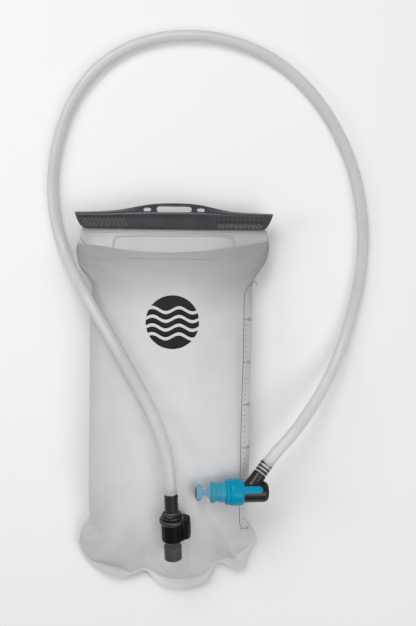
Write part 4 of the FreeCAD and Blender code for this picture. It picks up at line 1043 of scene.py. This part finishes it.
def make_coupling():
    """Cheeks, head, flange and parting bead of the coupling, and the plug's collar."""
    for name, low, high, paint in CHEEKS:
        prism(name, CHEEK, low, high, PORT, paint, "reservoir", 0.2)
    rings = [("coupling_flange", FLANGE, SATIN_BLACK, "reservoir", 50),
             ("parting_bead", PARTING_BEAD, BLACK, "reservoir", 35),
             ("plug_collar", PLUG_COLLAR, SATIN_BLACK, "tube_assembly", 50)]
    for name, profile, paint, body, angle in rings:
        lathe(name, profile, PORT, paint, body, 96, smooth_angle=angle)


# -------- bite valve

SHEATH = [(0.6, 0.2), (6.0, 0.0), (8.6, 0.9), (10.1, 3.2), (10.8, 6.5), (11.1, 10.0), (11.4, 14.0),
          (11.2, 16.8), (10.4, 19.6), (9.95, 22.0), (10.1, 25.0), (10.35, 28.6), (9.5, 28.6),
          (9.35, 25.0), (9.25, 21.5), (9.6, 19.3), (10.3, 16.6), (10.4, 13.8), (10.1, 9.8),
          (9.6, 6.3), (8.8, 3.9), (7.4, 2.2), (5.6, 1.4), (0.6, 1.4)]
THIN_SHEATH = 14.2
CORE = [(0.05, 2.6), (5.6, 2.7), (7.1, 3.1), (7.7, 3.9), (7.7, 5.2), (7.2, 6.4), (5.2, 7.2), (3.4, 7.7),
        (2.5, 8.6), (2.3, 10.0), (2.6, 11.6), (3.8, 13.2), (6.2, 14.7), (8.6, 15.4), (9.5, 16.2),
        (9.6, 17.4), (9.2, 18.6), (8.7, 19.2), (8.7, 20.0), (7.9, 20.3), (7.9, 23.4), (8.9, 23.8),
        (9.0, 30.3), (0.05, 30.3)]
SLIT = [(0.05, 1.5), (0.9, 1.52), (1.15, 2.1), (0.9, 2.55), (0.05, 2.58)]
SLIT_STRETCH = (4.6, 2.6, 1.0, 1.0)
COLLAR = [(9.25, 28.9), (9.9, 28.9), (10.8, 29.3), (11.5, 30.2), (11.6, 31.6), (11.1, 32.2),
          (11.15, 32.8), (11.8, 33.3), (12.1, 34.4), (12.2, 36.0), (12.2, 42.6), (12.0, 43.8),
          (11.2, 45.2), (9.8, 45.3), (9.8, 33.4), (9.25, 33.2)]
GRIP = [(0.02, -3.4), (0.42, -3.0), (0.5, 0), (0.42, 3.0), (0.02, 3.4)]
GRIP_PLACE = (12.15, 0, 39.4)
GRIP_COUNT, GRIP_FIRST, GRIP_PITCH = 7, 205, 20
TRUNK = [(0.0, 33.7), (9.2, 33.7), (9.5, 34.0), (9.5, 63.0), (9.35, 65.0), (8.9, 66.8), (7.9, 68.1),
         (6.2, 68.8), (0.0, 68.9)]
ARM = [(0.0, -2.0), (7.4, -2.0), (7.2, 8.0), (6.6, 13.0), (6.45, 18.0), (6.5, 19.8), (6.1, 20.6),
       (0.0, 20.6)]
CAP_SEAM = [(9.3, 63.9), (9.66, 64.1), (9.66, 64.7), (9.3, 64.9)]
BLEND_STEP = 0.42


def make_mouthpiece():
    """Clear sheath, blue core, and a black piece that paints the slit's shade."""
    skin = lathe("bite_sheath", SHEATH, VALVE, SILICONE, "shutoff", 96, smooth_angle=70)
    skin.data.materials.append(SILICONE_THIN)
    along = VALVE.inverted()
    for face in skin.data.polygons:
        face.material_index = int((along @ (face.center / MM)).z > THIN_SHEATH)
    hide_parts("mouthpiece_sheath")
    core = lathe("valve_core", CORE, VALVE, CORE_BLUE, "shutoff", 96, smooth_angle=38)
    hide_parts("mouthpiece_core")
    # Black lens behind the sheath's tip: painted shade of the slit.
    slit_place = VALVE @ Matrix.Diagonal(Vector(SLIT_STRETCH))
    lathe("slit_shade", SLIT, slit_place, INK_AND_SLIT_SHADE, "shutoff", 48)


def make_collar():
    """Twist collar with its thumb lever and grip beads."""
    ring = lathe("shutoff_ring", COLLAR, VALVE, BLUE, "shutoff", 120, smooth_angle=28)
    whole = joined("shutoff_ring", [ring, make_lever()])
    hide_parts("shutoff_collar")
    grips = []
    for k in range(GRIP_COUNT):
        turn = Matrix.Rotation(math.radians(GRIP_FIRST + GRIP_PITCH * k), 4, "Z")
        spot = VALVE @ turn @ Matrix.Translation(Vector(GRIP_PLACE))
        grips.append(lathe("grip", GRIP, spot, BLUE, "shutoff", 16, closed=False))
    joined("collar_grips", grips)


def make_elbow():
    """Elbow with its branch blended in, and the end cap's seam."""
    trunk = lathe("elbow", TRUNK, VALVE, ELBOW_BLACK, "tube_assembly", 96, closed=False)
    limb = lathe("arm", ARM, BRANCH, ELBOW_BLACK, "tube_assembly", 64, closed=False)
    elbow = joined("elbow_body", [trunk, limb])
    blend = elbow.modifiers.new("Blend", "REMESH")
    blend.mode = "VOXEL"
    blend.voxel_size = BLEND_STEP * MM
    soften = elbow.modifiers.new("Soften", "SMOOTH")
    soften.iterations = 7
    apply_modifiers(elbow)
    elbow.data.materials.clear()
    elbow.data.materials.append(ELBOW_BLACK)
    elbow.data.shade_smooth()
    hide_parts("valve_housing", "valve_end_cap")
    seam = lathe("end_cap_seam", CAP_SEAM, VALVE, ELBOW_BLACK, "tube_assembly", 96)


LEVER_TURN = math.radians(90 - 12)
LEVER_INNER, LEVER_OUTER = 10.25, 12.6
LEVER_START, LEVER_END = 43.0, 61.6
LEVER_HALF = 3.4
LEVER_ROWS = 20
LEVER_SECTION = [(LEVER_OUTER, 0.72), (LEVER_OUTER - 0.35, 0.94), (LEVER_OUTER - 0.9, 1.0),
                 (LEVER_INNER + 0.3, 1.0), (LEVER_INNER, 0.9)]


def make_lever():
    """Curved thumb lever that stands behind the collar, over the body."""
    verts, faces = [], []
    for row in range(LEVER_ROWS):
        share = row / (LEVER_ROWS - 1)
        z = LEVER_START + (LEVER_END - LEVER_START) * math.sin(share * math.pi / 2)
        close = max(0.0, (z - (LEVER_END - LEVER_HALF)) / LEVER_HALF)
        half = LEVER_HALF * math.sqrt(max(0.0, 1 - close ** 2)) + 0.05
        for radius, width in LEVER_SECTION:
            for side in (-1, 1):
                angle = LEVER_TURN + side * half * width / radius
                verts.append(VALVE @ Vector((radius * math.cos(angle), radius * math.sin(angle), z)))
    loop = [0, 2, 4, 6, 8, 9, 7, 5, 3, 1]
    count = len(loop)
    for row in range(LEVER_ROWS - 1):
        for k in range(count):
            a, b = row * count + loop[k], row * count + loop[(k + 1) % count]
            faces.append((a, b, b + count, a + count))
    faces += [tuple(loop)[::-1], tuple((LEVER_ROWS - 1) * count + k for k in loop)]
    return mesh_piece("lever", verts, faces, BLUE, "shutoff")


# -------- CAD nodes that stay

KEPT_FINISHES = {
    "closure_lip_front": FILM_CLEAR, "closure_lip_back": FILM_CLEAR, "receptacle_housing": BLACK,
    "port_seal_ring": RUBBER, "latch_plate": BLACK, "latch_spring": STEEL, "check_valve_poppet": BLUE,
    "poppet_seal": RUBBER, "check_valve_spring": STEEL, "tube_plug": BLACK, "plug_o_rings": RUBBER,
    "end_cap_ring": RUBBER, "shutoff_rotor": BLUE, "rotor_o_rings": RUBBER,
}


def finish_kept_nodes():
    """Gives each CAD node that stays its own procedural finish."""
    for name, paint in KEPT_FINISHES.items():
        data = frame["nodes"][name].data
        data.materials.clear()
        data.materials.append(paint)


make_floor()
make_lamps()
make_camera()
make_hose()
film_height = make_films()
make_emblem(film_height)
make_fill_marks(film_height)
make_numerals(film_height)
make_film_details(film_height)
make_patch(film_height)
make_fairing(film_height)
make_bar()
make_bar_trim()
make_button()
make_coupling()
make_mouthpiece()
make_collar()
make_elbow()
finish_kept_nodes()
